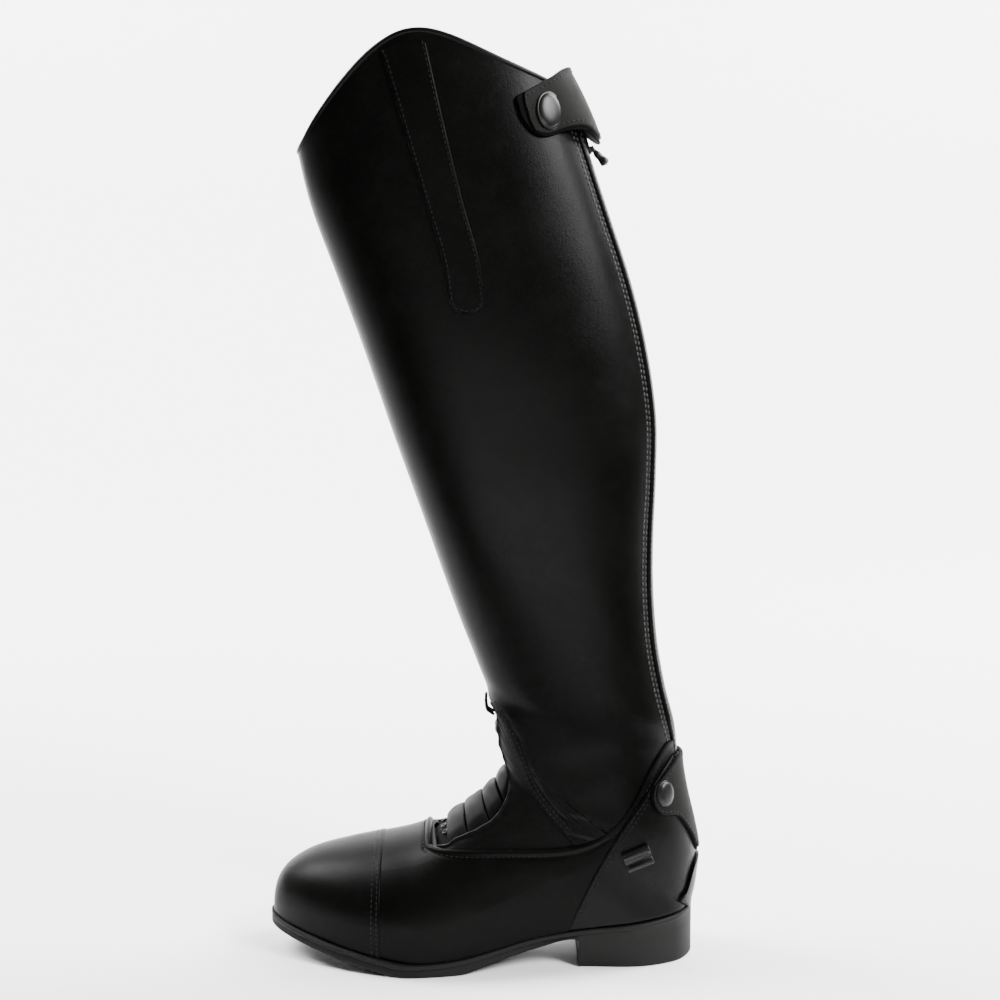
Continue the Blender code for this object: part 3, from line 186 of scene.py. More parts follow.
def skin(s, side, tau, bridged=False):  # surface of the last: section s, tau from sole or back seam to ridge
    s, tau = np.broadcast_arrays(np.asarray(s, float), np.asarray(tau, float))
    at = {name: along(values, s) for name, values in sections.items()}
    closed = (s >= marks["heelClosed"]) & (s <= marks["zipStart"])
    gap = 0.0 if bridged else at["gap"] * ease(s - marks["zipStart"])
    base = np.where(closed, at["seam"] * side, (at["baseOut"] if side > 0 else at["baseIn"]) + gap)
    half = at["out"] if side > 0 else at["in"]
    low = tau < widestColumn
    angle = np.where(low, 1 - tau / widestColumn, (tau - widestColumn) / (1 - widestColumn)) * math.pi / 2
    power = np.where(low, 2 / at["low"], 2 / at["top"])
    swing = np.maximum(np.cos(angle), 0.0) ** power
    rise = np.maximum(np.sin(angle), 0.0) ** power
    eta = np.where(low, at["widest"] * (1 - rise), at["widest"] + (1 - at["widest"]) * rise)
    edgeY = np.where(low, base, at["fy"] * side)
    y = edgeY + (half - edgeY) * swing
    x = at["bx"] + (at["fx"] - at["bx"]) * eta
    return np.stack([x, y * side, at["bz"] + (at["fz"] - at["bz"]) * eta], -1)


def outward(s, side, tau, bridged=False, step=0.02):  # unit directions out of the surface
    s, tau = np.broadcast_arrays(np.asarray(s, float), np.asarray(tau, float))
    closed = (s >= marks["heelClosed"]) & (bridged | (s <= marks["zipStart"]))
    ridge = tau > 1 - step
    seam = (tau < step) & closed
    flat = np.where(ridge, 1.0, np.where(seam, 0.0, tau))
    run = skin(s + step, side, flat, bridged) - skin(s - step, side, flat, bridged)
    ahead = np.where(ridge, tau, tau + step)
    over = skin(s, side, ahead, bridged) - skin(s, side, np.maximum(tau - step, 0), bridged)
    crown = skin(s, -side, 1 - step, bridged) - skin(s, side, 1 - step, bridged)
    back = skin(s, side, step, bridged) - skin(s, -side, step, bridged)
    across = np.where(ridge[..., None], crown, np.where(seam[..., None], back, over))
    out = np.cross(run, across) * side
    out[s < 0.002] = (1.0, 0.0, 0.0)
    return out / np.maximum(np.linalg.norm(out, axis=-1, keepdims=True), 1e-9)


def bisect(test, low, high, shape):
    low = np.full(shape, float(low))
    high = np.full(shape, float(high))
    for _ in range(36):
        middle = (low + high) / 2
        short = test(middle) < 0
        low = np.where(short, middle, low)
        high = np.where(short, high, middle)
    return (low + high) / 2


def pastEdge(p, edge, steep=False):  # how far places lie past a drawn edge; a steep one gives x for each z
    x, z = p[..., 0], p[..., 2]
    return x - through(edges[edge], z, True) if steep else z - through(edges[edge], x)


def tauAhead(s, side, edge):  # where a section passes a steep edge
    return bisect(lambda tau: pastEdge(skin(s, side, tau), edge, True), 0, 1, np.shape(s))


def tauAbove(s, side, edge):  # where a section passes a level edge
    return bisect(lambda tau: pastEdge(skin(s, side, tau), edge), 0, 1, np.shape(s))


def tauBeside(s, side, half):  # a sideways distance from the ridge
    ridge = along(sections["fy"], np.asarray(s, float))
    return bisect(lambda tau: half - (skin(s, side, tau)[..., 1] - ridge) * side, widestColumn, 1,
                  np.shape(s))


def tauFromBase(s, side, distance, bridged=False):
    start = skin(s, side, np.zeros(np.shape(s)), bridged)
    return bisect(lambda tau: np.linalg.norm(skin(s, side, tau, bridged) - start, axis=-1) - distance, 0,
                  widestColumn, np.shape(s))


def throatTau(s, side):  # edge of the opening that the lace crosses
    opening = np.clip((s - marks["throatLow"]) / (marks["throatOpen"] - marks["throatLow"]), 0, 1)
    edge = 1 - (1 - tauAhead(s, side, "throat")) * opening
    return np.where((s <= marks["throatLow"]) | (s >= marks["throatTop"]), 1.0, edge)


def rowAt(side, tau, edge, low, high, bridged=True):  # section number where a column crosses a level edge
    return bisect(lambda s: pastEdge(skin(s, side, tau, bridged), edge), low, high, np.shape(tau))


def collarRow(side, tau):  # section number where a column meets the collar
    edge = "collarOut" if side > 0 else "collarIn"
    return rowAt(side, tau, edge, marks["shear"] + 1, marks["limit"], False)


def placesOn(side, x, z, low, high, start, bridged=False, rounds=30):  # rows and columns seen at x and z
    s = np.full(len(x), start)
    for _ in range(rounds):
        tau = bisect(lambda t: skin(s, side, t, bridged)[..., 0] - x, 0, 1, x.shape)
        s = bisect(lambda r: skin(r, side, tau, bridged)[..., 2] - z, low, high, x.shape)
    return s, tau


# soft folds where the leather bends, placed on the side view
folds = {  # start (x, z), end (x, z), bow, half width, height (a trough is negative), side
    "ankle": (
        ((96, 137), (30, 150), 4.0, 9.0, -0.45, 1), ((96, 122), (32, 137), 4.0, 8.0, 0.32, 1),
        ((92, 106), (34, 125), 4.0, 8.0, -0.4, 1), ((90, 92), (40, 112), 3.0, 7.0, 0.3, 1),
        ((94, 86), (50, 99), 2.0, 5.5, -0.3, 1), ((110, 148), (84, 124), 2.0, 9.0, -0.35, 1),
        ((92, 134), (32, 146), 4.0, 8.0, -0.45, -1), ((90, 116), (34, 131), 4.0, 7.5, 0.35, -1),
        ((92, 100), (40, 116), 3.0, 6.5, -0.4, -1), ((108, 146), (82, 124), 2.0, 8.0, -0.35, -1)),
    "ankleWrinkles": (
        ((45, 153.5), (27, 151.5), 0.5, 0.9, -0.28, 1), ((46, 150.4), (27, 148.2), 0.6, 0.9, -0.34, 1),
        ((45, 147.2), (26, 145), 0.6, 0.9, -0.36, 1), ((44, 144), (26, 141.8), 0.6, 0.9, -0.34, 1),
        ((42, 140.8), (26, 138.8), 0.6, 0.9, -0.28, 1), ((40, 137.6), (26, 135.8), 0.5, 0.9, -0.22, 1),
        ((42, 150), (28, 148), 0.6, 1.0, -0.3, -1), ((41, 144), (27, 142), 0.6, 1.0, -0.3, -1)),
    "vamp": (
        ((158, 62), (108, 66), -2.5, 6.0, -0.5, 1), ((154, 52), (100, 58), -3.0, 7.0, 0.4, 1),
        ((144, 44), (88, 52), -3.0, 7.0, -0.35, 1), ((108, 66), (66, 58), 2.0, 6.0, 0.35, 1),
        ((156, 60), (106, 64), -2.5, 6.0, -0.5, -1), ((146, 48), (92, 54), -3.0, 7.0, 0.35, -1)),
    "facing": (
        ((122, 92), (101, 100), 2.5, 2.2, -0.5, 1), ((126, 82), (98, 88), 2.0, 2.6, 0.4, 1),
        ((112, 100), (96, 84), -1.5, 2.0, -0.35, 1), ((122, 92), (101, 100), 2.5, 2.2, -0.5, -1)),
    "calf": (
        ((62, 215), (36, 165), 2.0, 11.0, -0.45, 1), ((134, 215), (96, 168), -3.0, 12.0, -0.45, 1),
        ((160, 330), (50, 322), 6.0, 28.0, -0.4, 1), ((210, 470), (100, 452), 5.0, 26.0, -0.4, 1),
        ((160, 300), (50, 310), 6.0, 28.0, -0.4, -1), ((206, 440), (100, 430), 5.0, 26.0, -0.4, -1))}


def foldLift(p, side):
    lift = np.zeros(p.shape[:-1])
    for group in folds.values():
        for start, end, bow, wide, high, where in group:
            if where != side:
                continue
            run = np.subtract(end, start)
            length = np.hypot(*run)
            run = run / length
            dx = p[..., 0] - start[0]
            dz = p[..., 2] - start[1]
            u = (dx * run[0] + dz * run[1]) / length
            off = dz * run[0] - dx * run[1] - bow * 4 * u * (1 - u)
            fade = ease(np.minimum(u, 1 - u) / 0.42 + 0.1)
            lift += high * np.exp(-(off / wide) ** 2) * np.where((u > -0.1) & (u < 1.1), fade, 0.0)
    return lift


def lifted(s, side, tau, lift, bridged=False, folded=True):
    p = skin(s, side, tau, bridged)
    high = lift + (foldLift(p, side) if folded else 0.0)
    return p + outward(s, side, tau, bridged) * np.asarray(high)[..., None]


print("surface ready")


# finishes
def nodeGroup(name, inputs, outputs):
    tree = bpy.data.node_groups.new(name, "ShaderNodeTree")
    for label, value in inputs.items():
        tree.interface.new_socket(label, in_out="INPUT", socket_type="NodeSocketFloat").default_value = value
    for label in outputs:
        tree.interface.new_socket(label, in_out="OUTPUT", socket_type="NodeSocketFloat")
    return tree, tree.nodes.new("NodeGroupInput"), tree.nodes.new("NodeGroupOutput")


def joinMath(tree, operation, a, b, clamp=False):
    node = tree.nodes.new("ShaderNodeMath")
    node.operation = operation
    node.use_clamp = clamp
    for socket, value in zip(node.inputs, (a, b)):
        if isinstance(value, (int, float)):
            socket.default_value = value
        else:
            tree.links.new(value, socket)
    return node.outputs[0]


def noiseTexture(tree, vector, scale, detail, roughness=0.55):
    node = tree.nodes.new("ShaderNodeTexNoise")
    node.inputs["Detail"].default_value = detail
    node.inputs["Roughness"].default_value = roughness
    tree.links.new(vector, node.inputs["Vector"])
    if isinstance(scale, (int, float)):
        node.inputs["Scale"].default_value = scale
    else:
        tree.links.new(scale, node.inputs["Scale"])
    return node.outputs["Fac"]


def grainGroup():  # pores and creases of smooth leather, with broad shading of the polish
    sizes = {"Pores": 1100.0, "Brush": 0.0}
    tree, source, result = nodeGroup("leatherGrain", sizes, ("Height", "Mottle", "Scuff"))
    place = tree.nodes.new("ShaderNodeTexCoord").outputs["Object"]
    cells = tree.nodes.new("ShaderNodeTexVoronoi")
    cells.feature = "DISTANCE_TO_EDGE"
    tree.links.new(place, cells.inputs["Vector"])
    tree.links.new(source.outputs["Pores"], cells.inputs["Scale"])
    pores = joinMath(tree, "MINIMUM", joinMath(tree, "MULTIPLY", cells.outputs["Distance"], 3.0), 1.0)
    fine = noiseTexture(tree, place, 420.0, 5.0)
    stretch = tree.nodes.new("ShaderNodeMapping")
    stretch.inputs["Scale"].default_value = (900.0, 900.0, 60.0)
    tree.links.new(place, stretch.inputs["Vector"])
    strokes = noiseTexture(tree, stretch.outputs["Vector"], 1.0, 2.0)
    brush = joinMath(tree, "MULTIPLY", strokes, source.outputs["Brush"])
    pores = joinMath(tree, "MULTIPLY", pores, 0.45)
    height = joinMath(tree, "ADD", pores, joinMath(tree, "MULTIPLY", fine, 0.8))
    tree.links.new(joinMath(tree, "ADD", height, brush), result.inputs["Height"])
    tree.links.new(noiseTexture(tree, place, 26.0, 3.0), result.inputs["Mottle"])
    worn = joinMath(tree, "SUBTRACT", noiseTexture(tree, place, 95.0, 6.0, 0.7), 0.52)
    tree.links.new(joinMath(tree, "MULTIPLY", worn, 3.0, True), result.inputs["Scuff"])
    return tree


def weaveGroup():  # ribs of woven tape and elastic
    tree, source, result = nodeGroup("wovenRibs", {"Ribs": 900.0}, ("Height", "Mottle"))
    place = tree.nodes.new("ShaderNodeTexCoord").outputs["Object"]
    waves = []
    for direction in ("X", "Z"):
        wave = tree.nodes.new("ShaderNodeTexWave")
        wave.bands_direction = direction
        wave.inputs["Distortion"].default_value = 0.6
        tree.links.new(place, wave.inputs["Vector"])
        tree.links.new(source.outputs["Ribs"], wave.inputs["Scale"])
        waves.append(wave.outputs["Fac"])
    tree.links.new(joinMath(tree, "MAXIMUM", *waves), result.inputs["Height"])
    tree.links.new(noiseTexture(tree, place, 160.0, 4.0), result.inputs["Mottle"])
    return tree


grain = grainGroup()
weave = weaveGroup()


def finish(name, pattern, dark, light, rough, spread, scuff, specular, bump, scale, metal=0.0, coat=0.0,
           brush=0.0):
    material = bpy.data.materials.new(name)
    material.use_nodes = True
    tree = material.node_tree
    shader = tree.nodes["Principled BSDF"]
    detail = tree.nodes.new("ShaderNodeGroup")
    detail.node_tree = pattern
    detail.inputs[0].default_value = scale
    if brush:
        detail.inputs["Brush"].default_value = brush
    tint = tree.nodes.new("ShaderNodeMix")
    tint.data_type = "RGBA"
    tint.inputs["A"].default_value = (*dark, 1.0)
    tint.inputs["B"].default_value = (*light, 1.0)
    tree.links.new(detail.outputs["Mottle"], tint.inputs["Factor"])
    tree.links.new(tint.outputs["Result"], shader.inputs["Base Color"])
    varied = joinMath(tree, "MULTIPLY_ADD", detail.outputs["Mottle"], spread)
    varied.node.inputs[2].default_value = rough - spread / 2
    if scuff:
        worn = joinMath(tree, "MULTIPLY", detail.outputs["Scuff"], scuff)
        varied = joinMath(tree, "ADD", varied, worn, True)
    tree.links.new(varied, shader.inputs["Roughness"])
    relief = tree.nodes.new("ShaderNodeBump")
    tree.links.new(detail.outputs["Height"], relief.inputs["Height"])
    tree.links.new(relief.outputs["Normal"], shader.inputs["Normal"])
    for node, label, value in ((shader, "Metallic", metal), (shader, "Specular IOR Level", specular),
                               (shader, "Coat Weight", coat), (shader, "Coat Roughness", 0.16),
                               (relief, "Strength", 0.5), (relief, "Distance", bump * mm)):
        node.inputs[label].default_value = value
    return material


black = (0.0011, 0.00115, 0.00105)
looks = {  # in the order that finish takes them
    "polishedCalf": (grain, black, (0.0023, 0.0023, 0.0021),
                     0.32, 0.16, 0.14, 0.075, 0.17, 1000.0, 0.0, 0.015, 0.3),
    "polishedToe": (grain, black, (0.0024, 0.0024, 0.0022),
                    0.37, 0.14, 0.12, 0.05, 0.12, 1100.0),
    "softFacing": (grain, black, (0.0026, 0.0026, 0.0024),
                   0.45, 0.12, 0.12, 0.08, 0.2, 750.0),
    "strapLeather": (grain, (0.004, 0.004, 0.0038), (0.009, 0.009, 0.0085),
                     0.58, 0.2, 0.2, 0.05, 0.22, 800.0),
    "darkUnderPly": (grain, (0.0008, 0.0008, 0.0008), (0.0016, 0.0016, 0.0015),
                     0.6, 0.12, 0.0, 0.03, 0.12, 800.0),
    "liningLeather": (grain, (0.008, 0.0078, 0.0073), (0.016, 0.0155, 0.0145),
                      0.62, 0.15, 0.0, 0.2, 0.1, 900.0),
    "soleRubber": (grain, (0.0045, 0.0045, 0.0043), (0.0085, 0.0085, 0.0081),
                   0.64, 0.14, 0.0, 0.15, 0.08, 1800.0),
    "laceElastic": (weave, (0.0012, 0.0012, 0.0012), (0.003, 0.003, 0.003),
                    0.5, 0.12, 0.0, 0.07, 0.12, 800.0),
    "zipTape": (weave, (0.002, 0.002, 0.002), (0.005, 0.005, 0.005),
                0.85, 0.1, 0.0, 0.1, 0.15, 1000.0),
    "waxedThread": (weave, (0.003, 0.003, 0.0029), (0.007, 0.007, 0.0066),
                    0.5, 0.15, 0.0, 0.12, 0.08, 2400.0),
    "heavyThread": (weave, (0.02, 0.02, 0.019), (0.04, 0.04, 0.038),
                    0.45, 0.15, 0.0, 0.3, 0.08, 2000.0),
    "zipTeeth": (grain, (0.003, 0.003, 0.003), (0.007, 0.007, 0.007),
                 0.42, 0.12, 0.0, 0.3, 0.03, 3000.0),
    "glossyLug": (grain, (0.003, 0.003, 0.003), (0.006, 0.006, 0.006),
                  0.3, 0.1, 0.0, 0.22, 0.04, 1500.0),
    "blackedMetal": (grain, (0.008, 0.008, 0.0078), (0.016, 0.016, 0.0155),
                     0.34, 0.12, 0.0, 0.4, 0.03, 2200.0, 0.55)}
(calf, capCalf, softCalf, strapCalf, edgeCalf, lining, rubber, elastic, tapeCloth, thread, paleThread,
 teethPlastic, lugPlastic, blackMetal) = (finish(name, *look) for name, look in looks.items())
print("finishes ready")


# meshes
def toWorld(p):
    return (np.asarray(p) + bootShift) * mm


def smoothed(mesh, sharp):
    mesh.shade_smooth()
    mesh.set_sharp_from_angle(angle=math.radians(sharp))


def applied(piece):  # its mesh with the modifiers carried out
    made = bpy.data.meshes.new_from_object(piece.evaluated_get(bpy.context.evaluated_depsgraph_get()))
    piece.modifiers.clear()
    piece.data = made
    return made


def addPiece(name, verts, faces, materials, weld=0.002, sharp=50.0, paints=None):
    bm = bmesh.new()
    made = [bm.verts.new(v) for v in toWorld(verts)]
    for k, face in enumerate(faces):
        bm.faces.new([made[i] for i in face]).material_index = paints[k] if paints else 0
    if weld:
        bmesh.ops.remove_doubles(bm, verts=bm.verts, dist=weld * mm)
        bmesh.ops.dissolve_degenerate(bm, edges=bm.edges, dist=1e-7)
    bmesh.ops.recalc_face_normals(bm, faces=bm.faces)
    mesh = bpy.data.meshes.new(name)
    bm.to_mesh(mesh)
    bm.free()
    smoothed(mesh, sharp)
    for material in materials:
        mesh.materials.append(material)
    return linked(name, mesh)


def settle(piece, replaces=(), body=boot):
    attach(piece, body)
    if replaces:
        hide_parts(*replaces)
    return piece


def gridFaces(start, rows, columns, flip=False):
    ids = start + np.arange(rows * columns).reshape(rows, columns)
    quads = np.stack([ids[:-1, :-1], ids[1:, :-1], ids[1:, 1:], ids[:-1, 1:]], -1).reshape(-1, 4)
    return (quads[:, ::-1] if flip else quads).tolist()


def ringFaces(count, around, capped=True):  # faces between closed rings of equal size
    ids = np.arange(count * around).reshape(count, around)
    beside = np.roll(ids, -1, 1)
    faces = np.stack([ids[:-1], beside[:-1], beside[1:], ids[1:]], -1).reshape(-1, 4).tolist()
    return faces + [ids[0].tolist(), ids[-1].tolist()] if capped else faces


def cutAt(*names):  # sides of a grid that are cut all along
    return dict.fromkeys(names)


def addShell(name, layers, *materials):  # closed walls between outer and inner grids
    verts = []
    faces = []
    paints = []
    count = 0
    for layer in layers:
        rows, columns = layer["outer"].shape[:2]
        size = rows * columns
        verts += [layer["outer"].reshape(-1, 3), layer["inner"].reshape(-1, 3)]
        faces += gridFaces(count, rows, columns) + gridFaces(count + size, rows, columns, True)
        ids = count + np.arange(size).reshape(rows, columns)
        rims = {"low": ids[:, 0], "high": ids[:, -1], "start": ids[0], "end": ids[-1]}
        for edge, cutHere in layer["cuts"].items():
            line = rims[edge]
            for k, (a, b) in enumerate(zip(line[:-1], line[1:])):
                if cutHere is None or cutHere[k] or cutHere[k + 1]:
                    faces.append([a, b, b + size, a + size])
        paints += [layer.get("material", 0)] * (len(faces) - len(paints))
        count += 2 * size
    return addPiece(name, np.concatenate(verts), faces, materials, paints=paints)


nearEdge = (0.15, 0.35, 0.65, 1.05, 1.6, 2.3, 3.1, 3.9, 4.8, 5.8, 7.0)
farAway = 1e6


def spread(count, length, first=True, last=True):  # fractions, close together beside cut edges
    parts = [np.linspace(0, 1, count + 1)]
    if first:
        parts.append(np.array(nearEdge) / length)
    if last:
        parts.append(1 - np.array(nearEdge) / length)
    return np.unique(np.round(np.clip(np.concatenate(parts), 0, 1), 5))


def runLengths(p, axis):
    steps = np.linalg.norm(np.diff(p, axis=axis), axis=-1)
    zero = np.zeros_like(np.take(steps, [0], axis))
    return np.concatenate([zero, np.cumsum(steps, axis)], axis)


def cutDistance(p, cuts):
    away = np.full(p.shape[:2], farAway)
    across = runLengths(p, 1)
    down = runLengths(p, 0)
    far = {"low": across, "high": across[:, -1:] - across, "start": down, "end": down[-1:] - down}
    for edge, cutHere in cuts.items():
        run = far[edge]
        if cutHere is not None:
            run = np.where(cutHere[:, None] if edge in ("low", "high") else cutHere[None, :], run, farAway)
        away = np.minimum(away, run)
    return away


def roundShare(x):  # quarter circle from 0 to 1
    return np.sqrt(1 - (1 - np.clip(x, 0, 1)) ** 2)


def bell(x, middle, wide):  # soft ridge
    return np.exp(-((x - middle) / wide) ** 2)


def nearLine(p, line, block=2000):  # shortest way from every place of a grid to a drawn line
    flat = p.reshape(-1, 3)
    away = []
    for k in range(0, len(flat), block):
        away.append(np.linalg.norm(flat[k:k + block, None] - line[None], axis=-1).min(1))
    return np.concatenate(away).reshape(p.shape[:-1])


def panel(side, s, tau, base, thick, cuts, radius=0.9, wall=0.3, bridged=False, extra=None, rolled=None,
          line=None):  # leather on the skin, rolled over at its cut edges or beside a drawn line
    flat = skin(s, side, tau, bridged)
    if line is None:
        away = cutDistance(flat, {edge: cuts[edge] for edge in (cuts if rolled is None else rolled)})
    else:
        away = nearLine(flat, line)
    rolledEdge = wall + (1 - wall) * roundShare(away / radius)
    high = base + thick * rolledEdge + (extra(flat, away) if extra else 0.0)
    out = outward(s, side, tau, bridged)
    fold = foldLift(flat, side)
    return {"outer": flat + out * (high + fold)[..., None], "inner": flat + out * (base + fold)[..., None],
            "cuts": cuts}


def rowsThrough(*stretches):  # rows of stretches given as low, high and step
    parts = []
    for low, high, step in stretches:
        parts.append(np.linspace(low, high, max(int(round((high - low) / step)), 1) + 1))
    return np.unique(np.round(np.concatenate(parts), 4)) if len(parts) > 1 else parts[0]


def fan(rows, low, high, shares):  # grid of places between two taus on every row
    s = np.repeat(np.asarray(rows)[:, None], len(shares), 1)
    return s, low[:, None] + (high - low)[:, None] * shares[None, :]


# stitches, laid along runs by one node tree
stitchSizes = {"Pitch": 0.0031, "Long": 0.0024, "Wide": 0.0008, "High": 0.0007}
sunk = 0.05  # how deep a seam lies in its leather


def stitchTree():
    tree = bpy.data.node_groups.new("stitchRun", "GeometryNodeTree")
    sockets = [("Geometry", "Geometry"), *((label, "Float") for label in stitchSizes), ("Thread", "Material")]
    for label, kind in sockets:
        tree.interface.new_socket(label, in_out="INPUT", socket_type="NodeSocket" + kind)
    tree.interface.new_socket("Geometry", in_out="OUTPUT", socket_type="NodeSocketGeometry")
    kinds = {"source": "NodeGroupInput", "result": "NodeGroupOutput", "path": "GeometryNodeMeshToCurve",
             "even": "GeometryNodeResampleCurve", "out": "GeometryNodeInputNamedAttribute",
             "run": "GeometryNodeInputTangent", "turn": "FunctionNodeAxesToRotation",
             "bead": "GeometryNodeMeshUVSphere", "size": "ShaderNodeCombineXYZ",
             "shape": "GeometryNodeTransform", "spots": "GeometryNodeInstanceOnPoints",
             "real": "GeometryNodeRealizeInstances",
             "smooth": "GeometryNodeSetShadeSmooth", "paint": "GeometryNodeSetMaterial"}
    nodes = {name: tree.nodes.new(kind) for name, kind in kinds.items()}
    nodes["even"].mode = "LENGTH"
    nodes["out"].data_type = "FLOAT_VECTOR"
    nodes["out"].inputs["Name"].default_value = "out"
    nodes["turn"].primary_axis = "Z"
    nodes["turn"].secondary_axis = "X"
    for label, value in (("Segments", 6), ("Rings", 4), ("Radius", 0.5)):
        nodes["bead"].inputs[label].default_value = value
    for link in ("source.Geometry path.Mesh", "path.Curve even.Curve", "source.Pitch even.Length",
                 "even.Curve spots.Points", "source.Long size.X", "source.Wide size.Y", "source.High size.Z",
                 "bead.Mesh shape.Geometry", "size.Vector shape.Scale", "shape.Geometry spots.Instance",
                 "out.Attribute turn.Primary Axis", "run.Tangent turn.Secondary Axis",
                 "turn.Rotation spots.Rotation", "spots.Instances real.Geometry",
                 "real.Geometry smooth.Geometry", "smooth.Geometry paint.Geometry",
                 "source.Thread paint.Material", "paint.Geometry result.Geometry"):
        (start, output), (end, entry) = (part.split(".") for part in link.split(" ", 1))
        tree.links.new(nodes[start].outputs[output], nodes[end].inputs[entry])
    return tree


stitches = stitchTree()


def runNodes(name, runs, values):  # runs are (points, outward directions) in the boot's sizes
    lines = []
    count = 0
    for p, _ in runs:
        lines += [(count + i, count + i + 1) for i in range(len(p) - 1)]
        count += len(p)
    mesh = bpy.data.meshes.new(name)
    mesh.from_pydata(np.concatenate([toWorld(p) for p, _ in runs]).tolist(), lines, [])
    ups = np.concatenate([out for _, out in runs]).astype(np.float32)
    mesh.attributes.new("out", "FLOAT_VECTOR", "POINT").data.foreach_set("vector", ups.ravel())
    piece = linked(name, mesh)
    maker = piece.modifiers.new("run", "NODES")
    maker.node_group = stitches
    for item in stitches.interface.items_tree:
        if item.in_out == "INPUT" and item.name in values:
            maker[item.identifier] = values[item.name]
    applied(piece).name = name
    bpy.data.meshes.remove(mesh)
    return piece


def stitchLine(s, side, tau, lift, bridged=False):  # a run on the surface
    return lifted(s, side, tau, lift, bridged), outward(s, side, tau, bridged)


def besideEdge(s, side, tau, offset):  # places on every row a distance in from its high edge
    length = runLengths(skin(s, side, tau), 1)
    places = []
    for row, run, taus in zip(s[:, 0], length, tau):
        if run[-1] > 2 * offset:
            places.append((row, np.interp(offset, run[-1] - run[::-1], taus[::-1])))
    return np.array(places).T


def insetRun(away, fixed, free, inset, middle=None):  # way round a sheet at a distance in from its cut edges
    near = []
    far = []
    for k, row in enumerate(away):
        if row.max() > inset:
            half = middle or int(np.argmax(row))
            near.append((fixed[k, 0], np.interp(inset, row[:half + 1], free[k, :half + 1])))
            far.append((fixed[k, -1], np.interp(inset, row[half:][::-1], free[k, half:][::-1])))
    return np.array(near[::-1] + far).T


def gathered(parts):  # several meshes as one
    faces = []
    count = 0
    for verts, shape in parts:
        faces += [[i + count for i in face] for face in shape]
        count += len(verts)
    return np.concatenate([verts for verts, _ in parts]), faces


def sew(name, runs, **sizes):
    return settle(runNodes(name, runs, {**stitchSizes, "Thread": thread, **sizes}))


# the lined wall that every panel is sewn to
both = (1, -1)
ajar = 0.9995  # columns below this stop short of the ridge
shaftTop = {"rows": 26, "columns": 30, "past": -0.06}
wall = {"outer": -0.6, "inner": -2.4, "columns": 22}


def sheared(side, tau, count, drop):  # rows above the calf, drawn out to the collar
    top = collarRow(side, tau) - drop
    share = np.linspace(0, 1, count + 1)[1:]
    return marks["shear"] + (top - marks["shear"])[None, :] * share[:, None]


def withCollar(side, s, tau, drop):
    top = sheared(side, tau[-1], shaftTop["rows"], drop)
    return np.concatenate([s, top]), np.concatenate([tau, np.repeat(tau[-1:], len(top), 0)])


def addWall():
    rows = rowsThrough((0, 1, 0.1), (1, 3, 0.2), (3, marks["shear"], 0.4), (marks["throatLow"], 8.3, 0.05),
                       (8.3, 13, 0.2), (18.6, marks["throatTop"], 0.1))
    layers = []
    for side in both:
        s, tau = fan(rows, np.zeros_like(rows), throatTau(rows, side), np.linspace(0, 1, wall["columns"] + 1))
        s, tau = withCollar(side, s, tau, shaftTop["past"])
        cuts = {"low": (s[:, 0] < marks["heelClosed"]) | (s[:, 0] > marks["zipStart"]),
                "high": tau[:, -1] < ajar, "end": None}
        layers.append(panel(side, s, tau, wall["inner"], wall["outer"] - wall["inner"], cuts, rolled=()))
    return settle(addShell("liningWall", layers, lining))


addWall()


# shaft, lying over the facings along its slanting front edge
shaft = {"under": -0.5, "thick": 0.5, "wall": 0.2, "start": 10.4, "back": 16.5, "step": 1.45, "reach": 15.0,
         "groove": 0.5, "groove at": 5.6, "groove wide": 0.9, "fade": 150, "fade over": 12, "front": 128,
         "edge": (70, 158), "edge rows": (10, 21, 15.5), "seams": (1.6, 4.0), "sewn": 84, "sunk": 0.12}
shaftSeams = []


def shaftFront(rows, side):
    return np.where(rows >= marks["throatTop"], 1.0, tauAhead(rows, side, "shaft"))


def shaftBack(rows, side):
    return np.where(rows > shaft["back"], 0.0, np.clip(tauAbove(rows, side, "vampTop") - 0.05, 0, 1))


def shaftStep(p, away):  # step over the facing, and the groove behind the two rows of stitches
    fade = (1 - ease((p[..., 2] - shaft["fade"]) / shaft["fade over"])) * (p[..., 0] < shaft["front"])
    groove = shaft["groove"] * bell(away, shaft["groove at"], shaft["groove wide"])
    return (shaft["step"] * bell(away, 0, shaft["reach"]) - groove) * fade


def addShaft():
    rows = rowsThrough((shaft["start"], marks["shear"], 0.2), (11, 16.4, 0.05), (16.4, 20.2, 0.08),
                       (20.2, 23.6, 0.06))
    z = np.linspace(*shaft["edge"], 90)
    x = through(edges["shaft"], z, True)
    run = np.stack([np.gradient(x), np.gradient(z)])
    run = run / np.hypot(*run)
    sewn = z > shaft["sewn"]
    layers = []
    for side in both:
        front = shaftFront(rows, side)
        back = np.minimum(shaftBack(rows, side), front - 0.002)
        s, tau = fan(rows, back, front, spread(shaftTop["columns"], 70.0, False))
        s, tau = withCollar(side, s, tau, shaftTop["past"])
        row, column = placesOn(side, x, z, *shaft["edge rows"])
        edge = skin(row, side, column)
        for offset in shaft["seams"]:
            behind = (x - run[1] * offset)[sewn], (z + run[0] * offset)[sewn]
            row, column = placesOn(side, *behind, *shaft["edge rows"])
            shaftSeams.append(stitchLine(row, side, column, shaft["step"] - shaft["sunk"]))
        cuts = {"low": (tau[:, 0] > 1e-6) | (s[:, 0] > marks["zipStart"]),
                "high": tau[:, -1] < ajar, "end": None}
        layers.append(panel(side, s, tau, shaft["under"], shaft["thick"], cuts, wall=shaft["wall"],
                            extra=shaftStep, line=edge))
    return settle(addShell("shaftPanel", layers, calf), ("upper",))


addShaft()
print("shaft")


